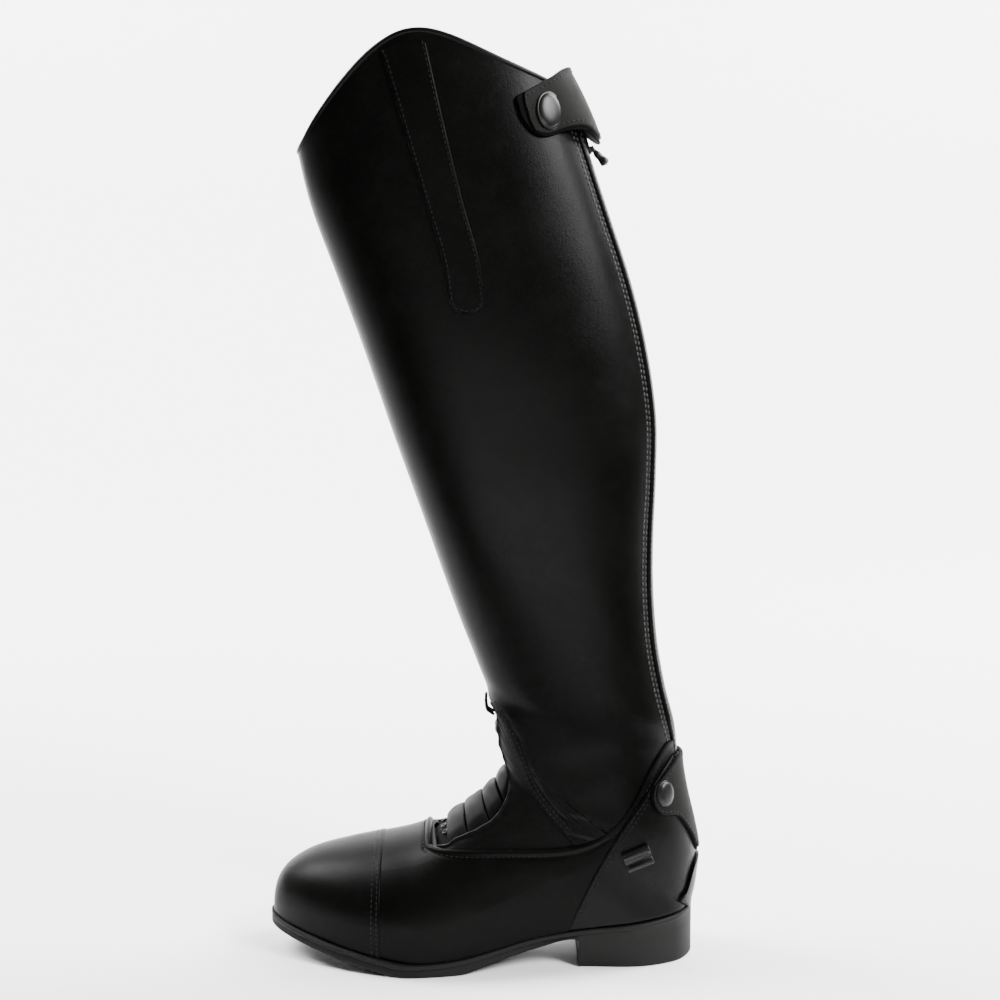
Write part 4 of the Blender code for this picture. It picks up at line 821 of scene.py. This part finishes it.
# foot panels
vamp = {"under": 0.0, "high": 2.05, "start": 5.6, "end": 22.25, "crown": 9, "closed": 11.1, "seam": 4.4,
        "crown seams": (0.16, 0.34)}
bead = {"high": 0.65, "at": 1.7, "wide": 1.4, "groove": 0.5, "groove at": 4.6, "groove wide": 1.0,
        "climb": 76, "climb over": 10, "behind": 90, "lost": 0.8, "sunk": 0.9}
seams = []


def vampHigh(rows, side):
    return tauAbove(rows, side, "vampTop")


def beadLift(p, away):  # rolled edge and the groove of its stitches, lost where it climbs to the zip
    climb = ease((p[..., 2] - bead["climb"]) / bead["climb over"])
    low = 1 - bead["lost"] * climb * (p[..., 0] < bead["behind"])
    groove = bead["groove"] * bell(away, bead["groove at"], bead["groove wide"])
    return (bead["high"] * bell(away, bead["at"], bead["wide"]) - groove) * low - bead["sunk"] * (1 - low)


def addVamp():
    shares = spread(26, 62.0)
    rows = rowsThrough((marks["throatLow"], 8.6, 0.06), (8.6, vamp["end"], 0.15))
    frontRows = rowsThrough((vamp["start"], 7.0, 0.12), (7.0, marks["throatLow"], 0.05))
    dense = np.linspace(rows[0], rows[-1], 500)
    sewn = rows > 8.0
    layers = []
    for side in both:
        notch = float(vampHigh(np.array([marks["throatLow"]]), side)[0])
        crown = np.linspace(notch, 1, 60)
        line = np.concatenate([skin(dense, side, vampHigh(dense, side)),
                               skin(np.full(len(crown), marks["throatLow"]), side, crown)])
        columns = np.concatenate([notch * shares, np.linspace(notch, 1, vamp["crown"] + 1)[1:]])
        bare = np.arange(len(columns)) >= len(shares) - 1
        low = np.where(rows <= vamp["closed"], 0.0, np.clip(tauAhead(rows, side, "counter") - 0.03, 0, 1))
        s, tau = fan(rows, low, np.maximum(vampHigh(rows, side), low + 0.001), shares)
        ahead = np.meshgrid(frontRows, columns, indexing="ij")
        for grid, cuts in ((ahead, {**cutAt("low", "start"), "end": bare}),
                           ((s, tau), cutAt("low", "high", "end"))):
            layers.append(panel(side, *grid, vamp["under"], vamp["high"], cuts, extra=beadLift, line=line))
        row, column = besideEdge(s[sewn], side, tau[sewn], vamp["seam"])
        seams.append(stitchLine(row, side, column, vamp["high"] - 0.4 - 0.5 * ease((row - 12) / 2)))
        for offset in vamp["crown seams"]:
            row = np.full(len(crown), marks["throatLow"] - offset)
            seams.append(stitchLine(row, side, crown, vamp["high"] - 0.1))
    return settle(addShell("vampPanel", layers, capCalf), ("vamp",))


counter = {"under": 0.0, "high": 2.8, "start": 11.1, "end": 21.6, "round": 1.6, "seams": (2.2, 4.4)}


def addCounter():
    rows = rowsThrough((counter["start"], counter["end"], 0.15))
    cuts = {"low": rows < marks["heelClosed"], **cutAt("high", "start", "end")}
    layers = []
    for side in both:
        high = np.maximum(tauAhead(rows, side, "counter"), 0.0005)
        s, tau = fan(rows, np.zeros_like(rows), high, spread(22, 60.0, False))
        layers.append(panel(side, s, tau, counter["under"], counter["high"], cuts, counter["round"],
                            rolled=("high", "low")))
        for offset in counter["seams"]:
            row, column = besideEdge(s, side, tau, offset)
            seams.append(stitchLine(row, side, column, counter["high"] - sunk))
    return settle(addShell("counterPanel", layers, calf), ("counter",))


toeCap = {"under": 0.0, "high": 2.6, "round": 0.8, "wall": 0.35, "seams": (0.1, 0.24)}


def addCap():
    rows = rowsThrough((0, 1, 0.08), (1, 5.6, 0.12), (5.6, marks["cap"], 0.02))
    s, tau = np.meshgrid(rows, spread(34, 100.0, True, False), indexing="ij")
    column = np.linspace(0.03, 1, 120)
    layers = []
    for side in both:
        layers.append(panel(side, s, tau, toeCap["under"], toeCap["high"], cutAt("low", "end"),
                            toeCap["round"], toeCap["wall"]))
        for back in toeCap["seams"]:
            row = np.full(len(column), marks["cap"] - back)
            seams.append(stitchLine(row, side, column, toeCap["high"] - sunk))
    return settle(addShell("toeCapPanel", layers, capCalf), ("toe_cap",))


facing = {"under": -0.5, "high": 0.85, "start": 8.0, "end": 19.9, "round": 1.2, "wall": 0.1,
          "gather": 0.25, "pitch": 9.6, "gather wide": 5.0, "roll": 0.9, "roll at": 1.3, "roll wide": 1.1}


def pucker(p, away):  # rolled edge, gathered by the lace
    gather = facing["gather"] * np.sin(runLengths(p, 0) * 2 * math.pi / facing["pitch"])
    roll = facing["roll"] * bell(away, facing["roll at"], facing["roll wide"])
    return gather * bell(away, 0, facing["gather wide"]) + roll


def addFacing(name, side, node):
    rows = rowsThrough((facing["start"], facing["end"], 0.09))
    high = throatTau(rows, side)
    low = np.minimum(np.maximum(vampHigh(rows, side) - 0.03, shaftFront(rows, side) - 0.06), high - 0.002)
    s, tau = fan(rows, low, high, spread(20, 26.0, False))
    layer = panel(side, s, tau, facing["under"], facing["high"], cutAt("low", "high", "start", "end"),
                  facing["round"], facing["wall"], extra=pucker, rolled=("high",))
    return settle(addShell(name, [layer], softCalf), (node,))


tongue = {"past": 0.8, "half": 30.0, "narrower": 8.0, "under": -6.4, "thick": 1.6, "round": 1.2, "wall": 0.2}


def addTongue():
    rows = rowsThrough((marks["throatLow"] - tongue["past"], marks["throatTop"] + tongue["past"], 0.2))
    half = tongue["half"] - tongue["narrower"] * ease((rows - 12) / 2)
    layers = []
    for side in both:
        s, tau = fan(rows, tauBeside(rows, side, half), np.ones_like(rows), np.linspace(0, 1, 19))
        layers.append(panel(side, s, tau, tongue["under"], tongue["thick"], cutAt("low", "start", "end"),
                            tongue["round"], tongue["wall"]))
    return settle(addShell("tonguePanel", layers, edgeCalf), ("tongue",))


addVamp()
addCounter()
addCap()
addFacing("facingOut", 1, "eyestay_out")
addFacing("facingIn", -1, "eyestay_in")
addTongue()
print("foot panels")


# sole with its heel block, and the insole
sole = {"breast": 71.5, "taper": 0.97, "step": 2.4, "groove": 0.9, "round": 1.0}


def soleSide(half, top, low, heel):  # outer half of a section, as (half width, height)
    groove = min(sole["groove"], half / 2)
    rounded = min(sole["round"], half / 2)
    foot = half * (sole["taper"] if heel else 1.0)
    turn = np.linspace(0, math.pi / 2, 5)
    waist = top - sole["step"]
    chain = [(half - groove - 3.0 * min(1, half / 8), top)]
    chain += [(half - rounded + rounded * math.sin(t), top - rounded + rounded * math.cos(t)) for t in turn]
    chain += [(half, waist), (half - groove * 0.4, waist - groove * 0.3), (half - groove, waist - groove)]
    for share in (0.25, 0.5, 0.75, 0.9):
        chain.append((half - groove + (foot - half + groove) * share,
                      waist - groove + (low + rounded - waist + groove) * share))
    chain += [(foot - rounded + rounded * math.cos(t), low + rounded - rounded * math.sin(t)) for t in turn]
    return chain


def closing(count, inset=0.0):  # fractions, closer together at both ends
    return (1 - np.cos(np.linspace(inset, math.pi - inset, count))) / 2


def addLoft(name, sections, material, node):  # sections are (x, middle, half outline)
    rings = []
    for x, centre, chain in sections:
        ring = [(x, centre + y, z) for y, z in chain] + [(x, centre - y, z) for y, z in chain[::-1]]
        rings.append(np.array(ring))
    faces = ringFaces(len(rings), len(rings[0]))
    return settle(addPiece(name, np.concatenate(rings), faces, (material,), sharp=40.0), (node,))


def addSole():
    spots = closing(120, 0.03) * soleLength
    stations = [(x, x < sole["breast"]) for x in spots if abs(x - sole["breast"]) > 0.3]
    stations += [(sole["breast"], True), (sole["breast"], False)]
    rings = []
    for x, heel in sorted(stations, key=lambda item: (item[0], not item[1])):
        centre, half = (float(v) for v in solePlan(np.float64(x), 0.0))
        top = float(soleValue(np.float64(x), 3))
        low = 0.0 if heel else max(float(soleValue(np.float64(x), 4)), 0.0)
        rings.append((x, centre, soleSide(half, top, low, heel)))
    return addLoft("soleUnit", rings, rubber, "outsole")


insole = {"inset": 8.5, "lift": 0.4, "edge": 2.2, "thick": 3.0, "round": 0.8}


def addInsole():
    rings = []
    for x in insole["inset"] + (soleLength - 2 * insole["inset"]) * closing(60, 0.05):
        centre, half = (float(v) for v in solePlan(np.float64(x), insole["inset"]))
        low = float(soleValue(np.float64(x), 3)) + insole["lift"]
        rings.append((x, centre, ((half, low), (half, low + insole["edge"]),
                                  (half - min(insole["round"], half / 2), low + insole["thick"]))))
    return addLoft("insoleSheet", rings, lining, "insole")


addSole()
addInsole()
print("sole")


# strap, heel tab and spur rest, laid across the back
strap = {"low": 2.2, "over": 4.0, "zip": 8.8, "row": 33.0, "flat": 10.0, "slope": 22.0}
narrower = {"reach": 0.075, "edge": 0.07}  # how far a ply is drawn in


def strapBase(s, side, tau):  # strap's height over the zip and the shaft
    away = np.linalg.norm(skin(s, side, tau, True) - skin(s, side, np.zeros_like(tau), True), axis=-1)
    over = strap["over"] + (strap["zip"] - strap["over"]) * (1 - np.clip(s - strap["row"], 0, 1) ** 2)
    return strap["low"] + (over - strap["low"]) * (1 - ease((away - strap["flat"]) / strap["slope"]))


def heelBase(s, side, tau):
    return np.full(np.shape(s), 2.9)


bands = {  # plies are (start, thickness, share drawn in)
    "topStrap": {"node": "top_strap", "edges": ("strapLow", "strapHigh"), "reach": 0.24, "rows": (32.0, 35.0),
                 "tip": 2.0, "base": strapBase, "plies": ((0.0, 1.3, 0.0), (1.35, 1.4, 0.8)),
                 "leathers": (edgeCalf, strapCalf), "inset": 2.6},
    "heelTab": {"node": "heel_tab", "edges": ("tabLow", "tabHigh"), "reach": 0.26, "rows": (14.0, 23.0),
                "tip": 4.5, "base": heelBase, "plies": ((0.0, 1.0, 0.0), (1.05, 1.15, 0.4)),
                "leathers": (edgeCalf, strapCalf), "inset": 2.2},
    "spurRest": {"node": "spur_rest", "edges": ("restLow", "restHigh"), "reach": 0.12, "rows": (15.1, 20.0),
                 "tip": 0.8, "base": heelBase, "plies": ((0.0, 1.9, 0.0),), "leathers": (calf,)}}


def backGrid(band, side, drawnIn):
    shares = np.unique(np.concatenate([np.linspace(0, 1, 27), np.array(nearEdge) / 40.0]))
    tau = band["reach"] * (1 - drawnIn * narrower["reach"]) * (1 - shares)
    bottom, top = (rowAt(side, tau, edge, *band["rows"]) for edge in band["edges"])
    middle = (bottom + top) / 2
    away = runLengths(skin(middle, side, tau, True)[None], 1)[0]
    squeeze = roundShare((away + 0.05) / band["tip"])
    bottom = middle + (bottom - middle) * squeeze
    top = middle + (top - middle) * squeeze
    edge = drawnIn * narrower["edge"]
    shares = edge + (1 - edge) * spread(14, 26.0)
    return bottom[:, None] + (top - bottom)[:, None] * shares[None], np.repeat(tau[:, None], len(shares), 1)


def addBand(name, band):
    cuts = cutAt("low", "high", "start")
    layers = []
    runs = []
    for side in both:
        for number, (under, thick, drawnIn) in enumerate(band["plies"]):
            s, tau = backGrid(band, side, drawnIn)
            base = band["base"](s, side, tau) + under
            layers.append(panel(side, s, tau, base, thick, cuts, 0.7, 0.35, True))
            layers[-1]["material"] = number
        if "inset" in band:
            away = cutDistance(skin(s, side, tau, True), cuts)
            column, row = insetRun(away, tau, s, band["inset"])
            lift = under + thick - sunk + band["base"](row, side, column)
            runs.append(stitchLine(row, side, column, lift, True))
    settle(addShell(name, layers, *band["leathers"]), (band["node"],))
    return runs


bandSeams = []
for name, band in bands.items():
    bandSeams += addBand(name, band)
print("straps")


# zip: strips with folded edges, tape, teeth, slider and pull
zipStrip = {"wide": 8.0, "thick": 1.7, "start": 21.3, "round": 1.3, "wall": 0.2, "below": 0.03,
            "seams": ((6.4, 1.6), (9.8, 0.0), (12.5, 0.0)), "seam rows": 12, "seam below": 0.1}
zipSeams = []


def addZipStrip(name, side, node):
    rows = rowsThrough((zipStrip["start"], marks["shear"], 0.2))
    reach = tauFromBase(rows, side, zipStrip["wide"])
    s, tau = fan(rows, np.zeros_like(rows), reach, spread(5, zipStrip["wide"]))
    s, tau = withCollar(side, s, tau, zipStrip["below"])
    layer = panel(side, s, tau, 0.0, zipStrip["thick"], cutAt("low", "high", "start", "end"),
                  zipStrip["round"], zipStrip["wall"], rolled=("low", "high", "start"))
    for offset, lift in zipStrip["seams"]:
        reach = tauFromBase(rows, side, offset)
        top = sheared(side, reach[-1:], zipStrip["seam rows"], zipStrip["seam below"])[:, 0]
        column = np.concatenate([reach, np.full(len(top), reach[-1])])
        zipSeams.append(stitchLine(np.concatenate([rows, top]), side, column, lift))
    return settle(addShell(name, [layer], calf), (node,))


tape = {"wide": 14.0, "start": 22.5, "under": -4.2, "thick": 0.9}


def addTape():
    rows = rowsThrough((tape["start"], marks["zipTop"], 0.25))
    layers = []
    for side in both:
        reach = tauFromBase(rows, side, tape["wide"], True)
        s, tau = fan(rows, np.zeros_like(rows), reach, np.linspace(0, 1, 9))
        layers.append(panel(side, s, tau, tape["under"], tape["thick"], cutAt("high", "start", "end"),
                            bridged=True, rolled=()))
    return settle(addShell("zipTapeCloth", layers, tapeCloth), ("zip_tape",))


teeth = {"start": 23.0, "below": 0.03, "apart": 1.1, "deep": 1.6, "shifts": (0.0, 1.0)}
toothSizes = {"Pitch": 0.002, "Long": 0.0013, "Wide": 0.0034, "High": 0.0019, "Thread": teethPlastic}


def addTeeth():
    rows = rowsThrough((teeth["start"], marks["zipTop"] - teeth["below"], 0.05))
    middle = skin(rows, 1, np.zeros_like(rows), True)
    out = outward(rows, 1, np.zeros_like(rows), True)
    runs = []
    for side, shift in zip(both, teeth["shifts"]):
        p = middle + np.array((0, teeth["apart"] * side, 0)) - out * teeth["deep"]
        run = np.gradient(p, axis=0)
        runs.append((p + run / np.linalg.norm(run, axis=1, keepdims=True) * shift, out))
    return settle(runNodes("zipTeethRows", runs, toothSizes), ("zip_chain",))


def zipMatrix():
    spot = np.array([marks["slider"]])
    out = Vector(outward(spot, 1, np.zeros(1), True)[0])
    out.y = 0
    out.normalize()
    inner = Vector((0, -1, 0))
    return np.array([inner.cross(out), inner, out]).T, skin(spot, 1, np.zeros(1), True)[0]


def bevelled(piece, width):
    soft = piece.modifiers.new("soft", "BEVEL")
    soft.width = width * mm
    soft.segments = 3
    soft.limit_method = "ANGLE"
    smoothed(applied(piece), 40.0)
    return piece


boxCorners = np.array([(x, y, z) for x in (-1, 1) for y in (-1, 1) for z in (-1, 1)]) / 2
boxFaces = ((0, 1, 3, 2), (4, 6, 7, 5), (0, 4, 5, 1), (2, 3, 7, 6), (0, 2, 6, 4), (1, 5, 7, 3))
sliderBoxes = (((12.0, 7.6, 3.2), (0, 0, 1.6)),  # size and middle of the body and the two ears
               ((3.4, 1.0, 3.6), (3.4, 2.4, 3.7)), ((3.4, 1.0, 3.6), (3.4, -2.4, 3.7)))


def addSlider():
    turn, origin = zipMatrix()
    boxes = [((boxCorners * size + middle) @ turn.T + origin, boxFaces) for size, middle in sliderBoxes]
    piece = addPiece("zipSlider", *gathered(boxes), (blackMetal,), weld=0)
    return settle(bevelled(piece, 0.45), ("zip_slider",))


def tube(name, points, radii, material, around):
    run = np.gradient(points, axis=0)
    run /= np.linalg.norm(run, axis=1, keepdims=True)
    up = np.array((0.0, 1.0, 0.0)) if abs(run[0, 1]) < 0.9 else np.array((0.0, 0.0, 1.0))
    angle = np.linspace(0, 2 * math.pi, around, endpoint=False)[:, None]
    rings = []
    for p, r, t in zip(points, np.broadcast_to(radii, len(points)), run):
        side = np.cross(t, up)
        side /= np.linalg.norm(side)
        up = np.cross(side, t)
        rings.append(p + r * (np.cos(angle) * side + np.sin(angle) * up))
    return addPiece(name, np.concatenate(rings), ringFaces(len(rings), around), (material,), weld=0.001)


pull = {"angle": 25, "hinge": (3.4, 0, 4.6), "root": -1.0, "end": 12.4, "past": 0.05, "root round": 0.6,
        "end round": 1.2}
pullShape = ((-1.0, 0.9), (0.0, 1.2), (1.8, 1.3), (3.8, 2.0), (7.0, 2.1), (9.4, 2.7), (11.2, 2.7),
             (12.6, 1.7))


def addPull():
    turn, origin = zipMatrix()
    angle = math.radians(pull["angle"])
    run = np.linspace(pull["root"], pull["end"], 60)
    end = np.sqrt(np.clip((pull["end"] + pull["past"] - run) / pull["end round"], 0.02, 1))
    root = np.sqrt(np.clip((run - pull["root"] + pull["past"]) / pull["root round"], 0.05, 1))
    local = run[:, None] * np.array((math.cos(angle), 0, math.sin(angle))) + np.array(pull["hinge"])
    piece = tube("zipPull", local @ turn.T + origin, through(pullShape, run) * end * root, blackMetal, 24)
    return settle(piece, ("zip_pull",), "zip_pull")


addZipStrip("zipStripOut", 1, "zip_strip_out")
addZipStrip("zipStripIn", -1, "zip_strip_in")
addTape()
addTeeth()
addSlider()
addPull()
print("zip")


# piping round the collar and the sewn strip below it
piping = {"radius": 1.9, "in": -1.2, "rise": 2.8, "step": 0.03, "rounds": 6}


def addPiping():
    tau = np.linspace(0, 1, 90)
    parts = []
    for side in both:
        top = collarRow(side, tau)
        rise = skin(top + piping["step"], side, tau) - skin(top - piping["step"], side, tau)
        rise /= np.linalg.norm(rise, axis=-1, keepdims=True)
        parts.append(lifted(top, side, tau, piping["in"]) + rise * piping["rise"])
    path = np.concatenate([parts[0], parts[1][-2::-1]])
    for _ in range(piping["rounds"]):
        path[1:-1] = path[1:-1] * 0.5 + (path[:-2] + path[2:]) * 0.25
    return settle(tube("collarPiping", path, piping["radius"], calf, 18), ("collar_piping",))


stay = {"low": 30.42, "top": 34.3, "thick": 1.5, "under": 0.2, "columns": 12, "tip": 10.0, "below": 0.03,
        "round": 0.8, "inset": 2.0}


def addStay():
    rows = stay["low"] + (stay["top"] - stay["low"]) * np.linspace(0, 1, 60) ** 1.3
    back, front = (tauAhead(rows, 1, edge) for edge in ("stayBack", "stayFront"))
    middle = (back + front) / 2
    away = runLengths(skin(rows, 1, middle)[None], 1)[0]
    half = (front - back) / 2 * roundShare((away + 0.1) / stay["tip"])
    s, tau = fan(rows, middle - half, middle + half, spread(stay["columns"], 20.0))
    s = np.minimum(s, collarRow(1, tau) - stay["below"])
    cuts = cutAt("low", "high", "start", "end")
    rolled = cutAt("low", "high", "start")
    layer = panel(1, s, tau, -stay["under"], stay["thick"] + stay["under"], cuts, stay["round"],
                  rolled=rolled)
    away = cutDistance(skin(s, 1, tau), rolled)
    row, column = insetRun(away, s, tau, stay["inset"], away.shape[1] // 2)
    seams.append(stitchLine(row, 1, column, stay["thick"] - sunk))
    return settle(addShell("stayStrip", [layer], calf), ("stay_strip",))


addPiping()
addStay()
print("collar")


# hardware
def turned(s, side, tau, lift, bridged=True):  # axes at a place: level, up, out
    out = outward(s, side, tau, bridged)[0]
    level = np.cross((0, 0, 1), out)
    level /= np.linalg.norm(level)
    return np.array([level, np.cross(out, level), out]), skin(s, side, tau, bridged)[0] + out * lift


def outerPlace(shape):  # row and column of a fitting on the outer side
    return placesOn(1, np.array([shape["x"]]), np.array([shape["z"]]), 11.1, marks["limit"], 16.0, True, 60)


def lathe(profile, axes, origin, around):
    radius, high = np.array(profile, float).T[..., None]
    angle = np.linspace(0, 2 * math.pi, around, endpoint=False)
    local = np.stack([radius * np.cos(angle), radius * np.sin(angle), np.repeat(high, around, 1)], -1)
    return local.reshape(-1, 3) @ axes + origin, ringFaces(len(profile), around, False)


snapShape = ((0.001, 2.6), (1.6, 2.57), (3.2, 2.46), (4.6, 2.24), (5.6, 1.95), (6.3, 1.6), (6.7, 1.25),
             (6.85, 0.95),
             (7.05, 0.9), (7.5, 0.86), (7.75, 0.62), (7.8, 0.3), (7.7, 0.0), (0.001, 0.0))
snaps = {"topSnap": {"node": "top_snap", "x": 93.4, "z": 507.6, "base": strapBase, "seat": 2.75,
                     "half": (8.4, 11.0)},
         "heelSnap": {"node": "heel_snap", "x": 22.5, "z": 106.0, "base": heelBase, "seat": 2.25,
                      "half": (6.4, 7.9)}}


def addSnap(name, snap):  # oval cap, narrower along the level
    s, tau = outerPlace(snap)
    axes, origin = turned(s, 1, tau, snap["base"](s, 1, tau)[0] + snap["seat"])
    wide, tall = np.array(snap["half"]) / 7.8
    verts, faces = lathe(snapShape, axes * np.array((wide, tall, 1.0))[:, None], origin, 48)
    piece = addPiece(name, verts, faces, (blackMetal,), weld=0.02, sharp=60.0)
    return settle(piece, (snap["node"],))


for name, snap in snaps.items():
    addSnap(name, snap)


eyelets = {"places": ((8.18, 6.5), (8.24, 15.5)),  # row, way from the ridge
           "radius": 1.5, "wire": 0.55, "lift": -3.6}


def addEyelets():
    wire = eyelets["wire"]
    angles = np.linspace(0, 2 * math.pi, 13)
    ring = [(eyelets["radius"] + wire * math.cos(a), wire * math.sin(a)) for a in angles]
    parts = []
    nodes = []
    for side, label in zip(both, ("out", "in")):
        for k, (row, half) in enumerate(eyelets["places"]):
            s = np.array([row])
            axes, origin = turned(s, side, tauBeside(s, side, half), eyelets["lift"], False)
            parts.append(lathe(ring, axes, origin, 24))
            nodes.append(f"eyelet_{label}_{k + 1}")
    return settle(addPiece("eyelets", *gathered(parts), (blackMetal,), sharp=60.0), nodes)


addEyelets()
print("hardware")


# ribbed spur lug on the outer side of the heel
lug = {"x": 37.0, "z": 69.0, "length": 17.0, "tilt": 20.0, "lift": 2.7}
lugShape = ((-6.0, 0.0), (6.0, 0.0), (6.0, 2.9), (4.9, 4.4), (2.6, 4.4), (1.5, 2.2), (-1.5, 2.2), (-2.6, 4.4),
            (-4.9, 4.4), (-6.0, 2.9))


def addLug():
    s, tau = outerPlace(lug)
    axes, origin = turned(s, 1, tau, lug["lift"])
    a = math.radians(lug["tilt"])
    rings = []
    for y in (-lug["length"] / 2, lug["length"] / 2):
        ring = [(y * math.cos(a) - u * math.sin(a), y * math.sin(a) + u * math.cos(a), h)
                for u, h in lugShape]
        rings.append(np.array(ring) @ axes + origin)
    piece = addPiece("spurLug", np.concatenate(rings), ringFaces(2, len(lugShape)), (lugPlastic,), weld=0)
    return settle(bevelled(piece, 0.5), ("spur_lug",))


addLug()


# soft elastic bars of the lace, each passing under the facings
lace = {"bars": ((8.42, 9.3), (9.36, 10.36), (10.42, 11.3), (11.42, 12.5), (12.6, 13.8), (14.1, 15.9),
                 (16.5, 17.9)),
        "crown": -0.5, "valley": -1.7, "tuck": -2.6, "under": -4.4, "past": 0.03, "ripple": 0.3}


def addLaces():
    layers = []
    across = closing(17)
    around = np.linspace(0, 1, 34)[:, None]
    pillow = np.sqrt(np.clip(1 - (2 * across - 1) ** 2, 0, 1))[None]
    for k, (low, high) in enumerate(lace["bars"]):
        for side in both:
            s = np.repeat((low + (high - low) * across)[None], len(around), 0)
            edge = throatTau(s[0], side)[None]
            tau = np.minimum(edge + (1 - edge) * (around * (1 + lace["past"]) - lace["past"]), 1.0)
            tau[-1] = 1.0
            wave = np.sin(around * 7 + across[None] * 6 + 2.1 * k) * np.sin(math.pi * around / 2)
            free = lace["valley"] + (lace["crown"] - lace["valley"] + lace["ripple"] * wave) * pillow
            top = lace["tuck"] + (free - lace["tuck"]) * ease(around / 0.3)
            flat = skin(s, side, tau)
            out = outward(s, side, tau)
            layers.append({"outer": flat + out * top[..., None], "inner": flat + out * lace["under"],
                           "cuts": cutAt("low", "high", "start")})
    return settle(addShell("laceBars", layers, elastic), ("laces",))


addLaces()


# loop of lace cord above the top bar
loop = {"half": 3.8, "leg": 10.5, "low": 18.6, "rows": 0.115, "low lift": -1.5, "lift": 1.2, "over": 5.0,
        "reach": 1.0, "radius": 0.9}


def addLoop():
    bend = math.pi * loop["half"]
    run = np.linspace(0, 2 * loop["leg"] + bend, 61)
    turn = np.clip(run - loop["leg"], 0, bend) / loop["half"]
    below = np.maximum(np.maximum(loop["leg"] - run, run - loop["leg"] - bend), 0)
    high = loop["leg"] - below + loop["half"] * np.sin(turn)
    swing = loop["low lift"] + (loop["lift"] - loop["low lift"]) * ease(high / loop["over"])
    swing = swing + loop["reach"] * np.sin(math.pi * high / (loop["leg"] + loop["half"]))
    p = lifted(loop["low"] + high * loop["rows"], 1, np.ones_like(run), swing, folded=False)
    p[:, 1] -= loop["half"] * np.cos(turn)
    p = toWorld(p)
    line = bpy.data.curves.new("laceLoop", "CURVE")
    line.dimensions = "3D"
    line.bevel_depth = loop["radius"] * mm
    line.bevel_resolution = 4
    line.use_fill_caps = True
    strand = line.splines.new("POLY")
    strand.points.add(len(p) - 1)
    strand.points.foreach_set("co", np.column_stack([p, np.ones(len(p))]).ravel())
    line.materials.append(elastic)
    piece = settle(linked("laceLoop", line), ("lace_loop",))


addLoop()


# sewing
sew("panelStitches", seams)
sew("shaftStitches", shaftSeams)
sew("zipStitches", zipSeams, Pitch=0.0034, Long=0.0026, Wide=0.0012, High=0.001, Thread=paleThread)
sew("bandStitches", bandSeams)
print("sewing")


# floor and light
studio = {"floor": 0.9, "rough": 0.7, "half": 4.0, "front": 0.2, "back": -1.6, "curve": 0.6, "tall": 3.0,
          "world": 0.02}
lamps = {  # place, target, size, power
    "topSoftbox": ((0.0, -1.1, 2.0), (0.0, -0.6, 0.0), (2.0, 0.8), 15.0),
    "rightSoftbox": ((-1.25, 0.95, 1.4), (-0.05, 0.0, 0.45), (0.65, 0.85), 82.0),
    "frontFill": ((0.0, 1.15, 0.02), (0.0, 1.15, 1.0), (1.0, 1.1), 26.0),
    "backdropLeft": ((1.6, -0.6, 1.9), (0.3, -2.2, 0.6), (1.4, 1.4), 240.0),
    "backdropRight": ((-1.6, -0.6, 1.9), (-0.3, -2.2, 0.6), (1.4, 1.4), 240.0)}


def addSweep():
    pale = bpy.data.materials.new("paleSweep")
    pale.use_nodes = True
    shader = pale.node_tree.nodes["Principled BSDF"]
    shader.inputs["Base Color"].default_value = (studio["floor"], studio["floor"], studio["floor"], 1.0)
    shader.inputs["Roughness"].default_value = studio["rough"]
    shader.inputs["Specular IOR Level"].default_value = 0.2
    profile = [(studio["front"], 0.0)]
    for t in np.linspace(0, math.pi / 2, 16):
        profile.append((studio["back"] - studio["curve"] * math.sin(t), studio["curve"] * (1 - math.cos(t))))
    profile.append((studio["back"] - studio["curve"], studio["tall"]))
    verts = [(x, y, z) for y, z in profile for x in (-studio["half"], studio["half"])]
    faces = [(2 * k, 2 * k + 1, 2 * k + 3, 2 * k + 2) for k in range(len(profile) - 1)]
    mesh = bpy.data.meshes.new("studioSweep")
    mesh.from_pydata(verts, [], faces)
    mesh.shade_smooth()
    mesh.materials.append(pale)
    linked("studioSweep", mesh)


def addLight(name, place, target, size, power):
    lamp = bpy.data.lights.new(name, "AREA")
    lamp.shape = "RECTANGLE"
    lamp.size, lamp.size_y = size
    lamp.energy = power
    piece = linked(name, lamp)
    piece.location = place
    piece.rotation_euler = (Vector(target) - Vector(place)).to_track_quat("-Z", "Y").to_euler()


addSweep()
for name, lamp in lamps.items():
    addLight(name, *lamp)
world = bpy.data.worlds.new("studioWorld")
world.use_nodes = True
background = world.node_tree.nodes["Background"]
background.inputs["Color"].default_value = (1.0, 1.0, 1.0, 1.0)
background.inputs["Strength"].default_value = studio["world"]
bpy.context.scene.world = world
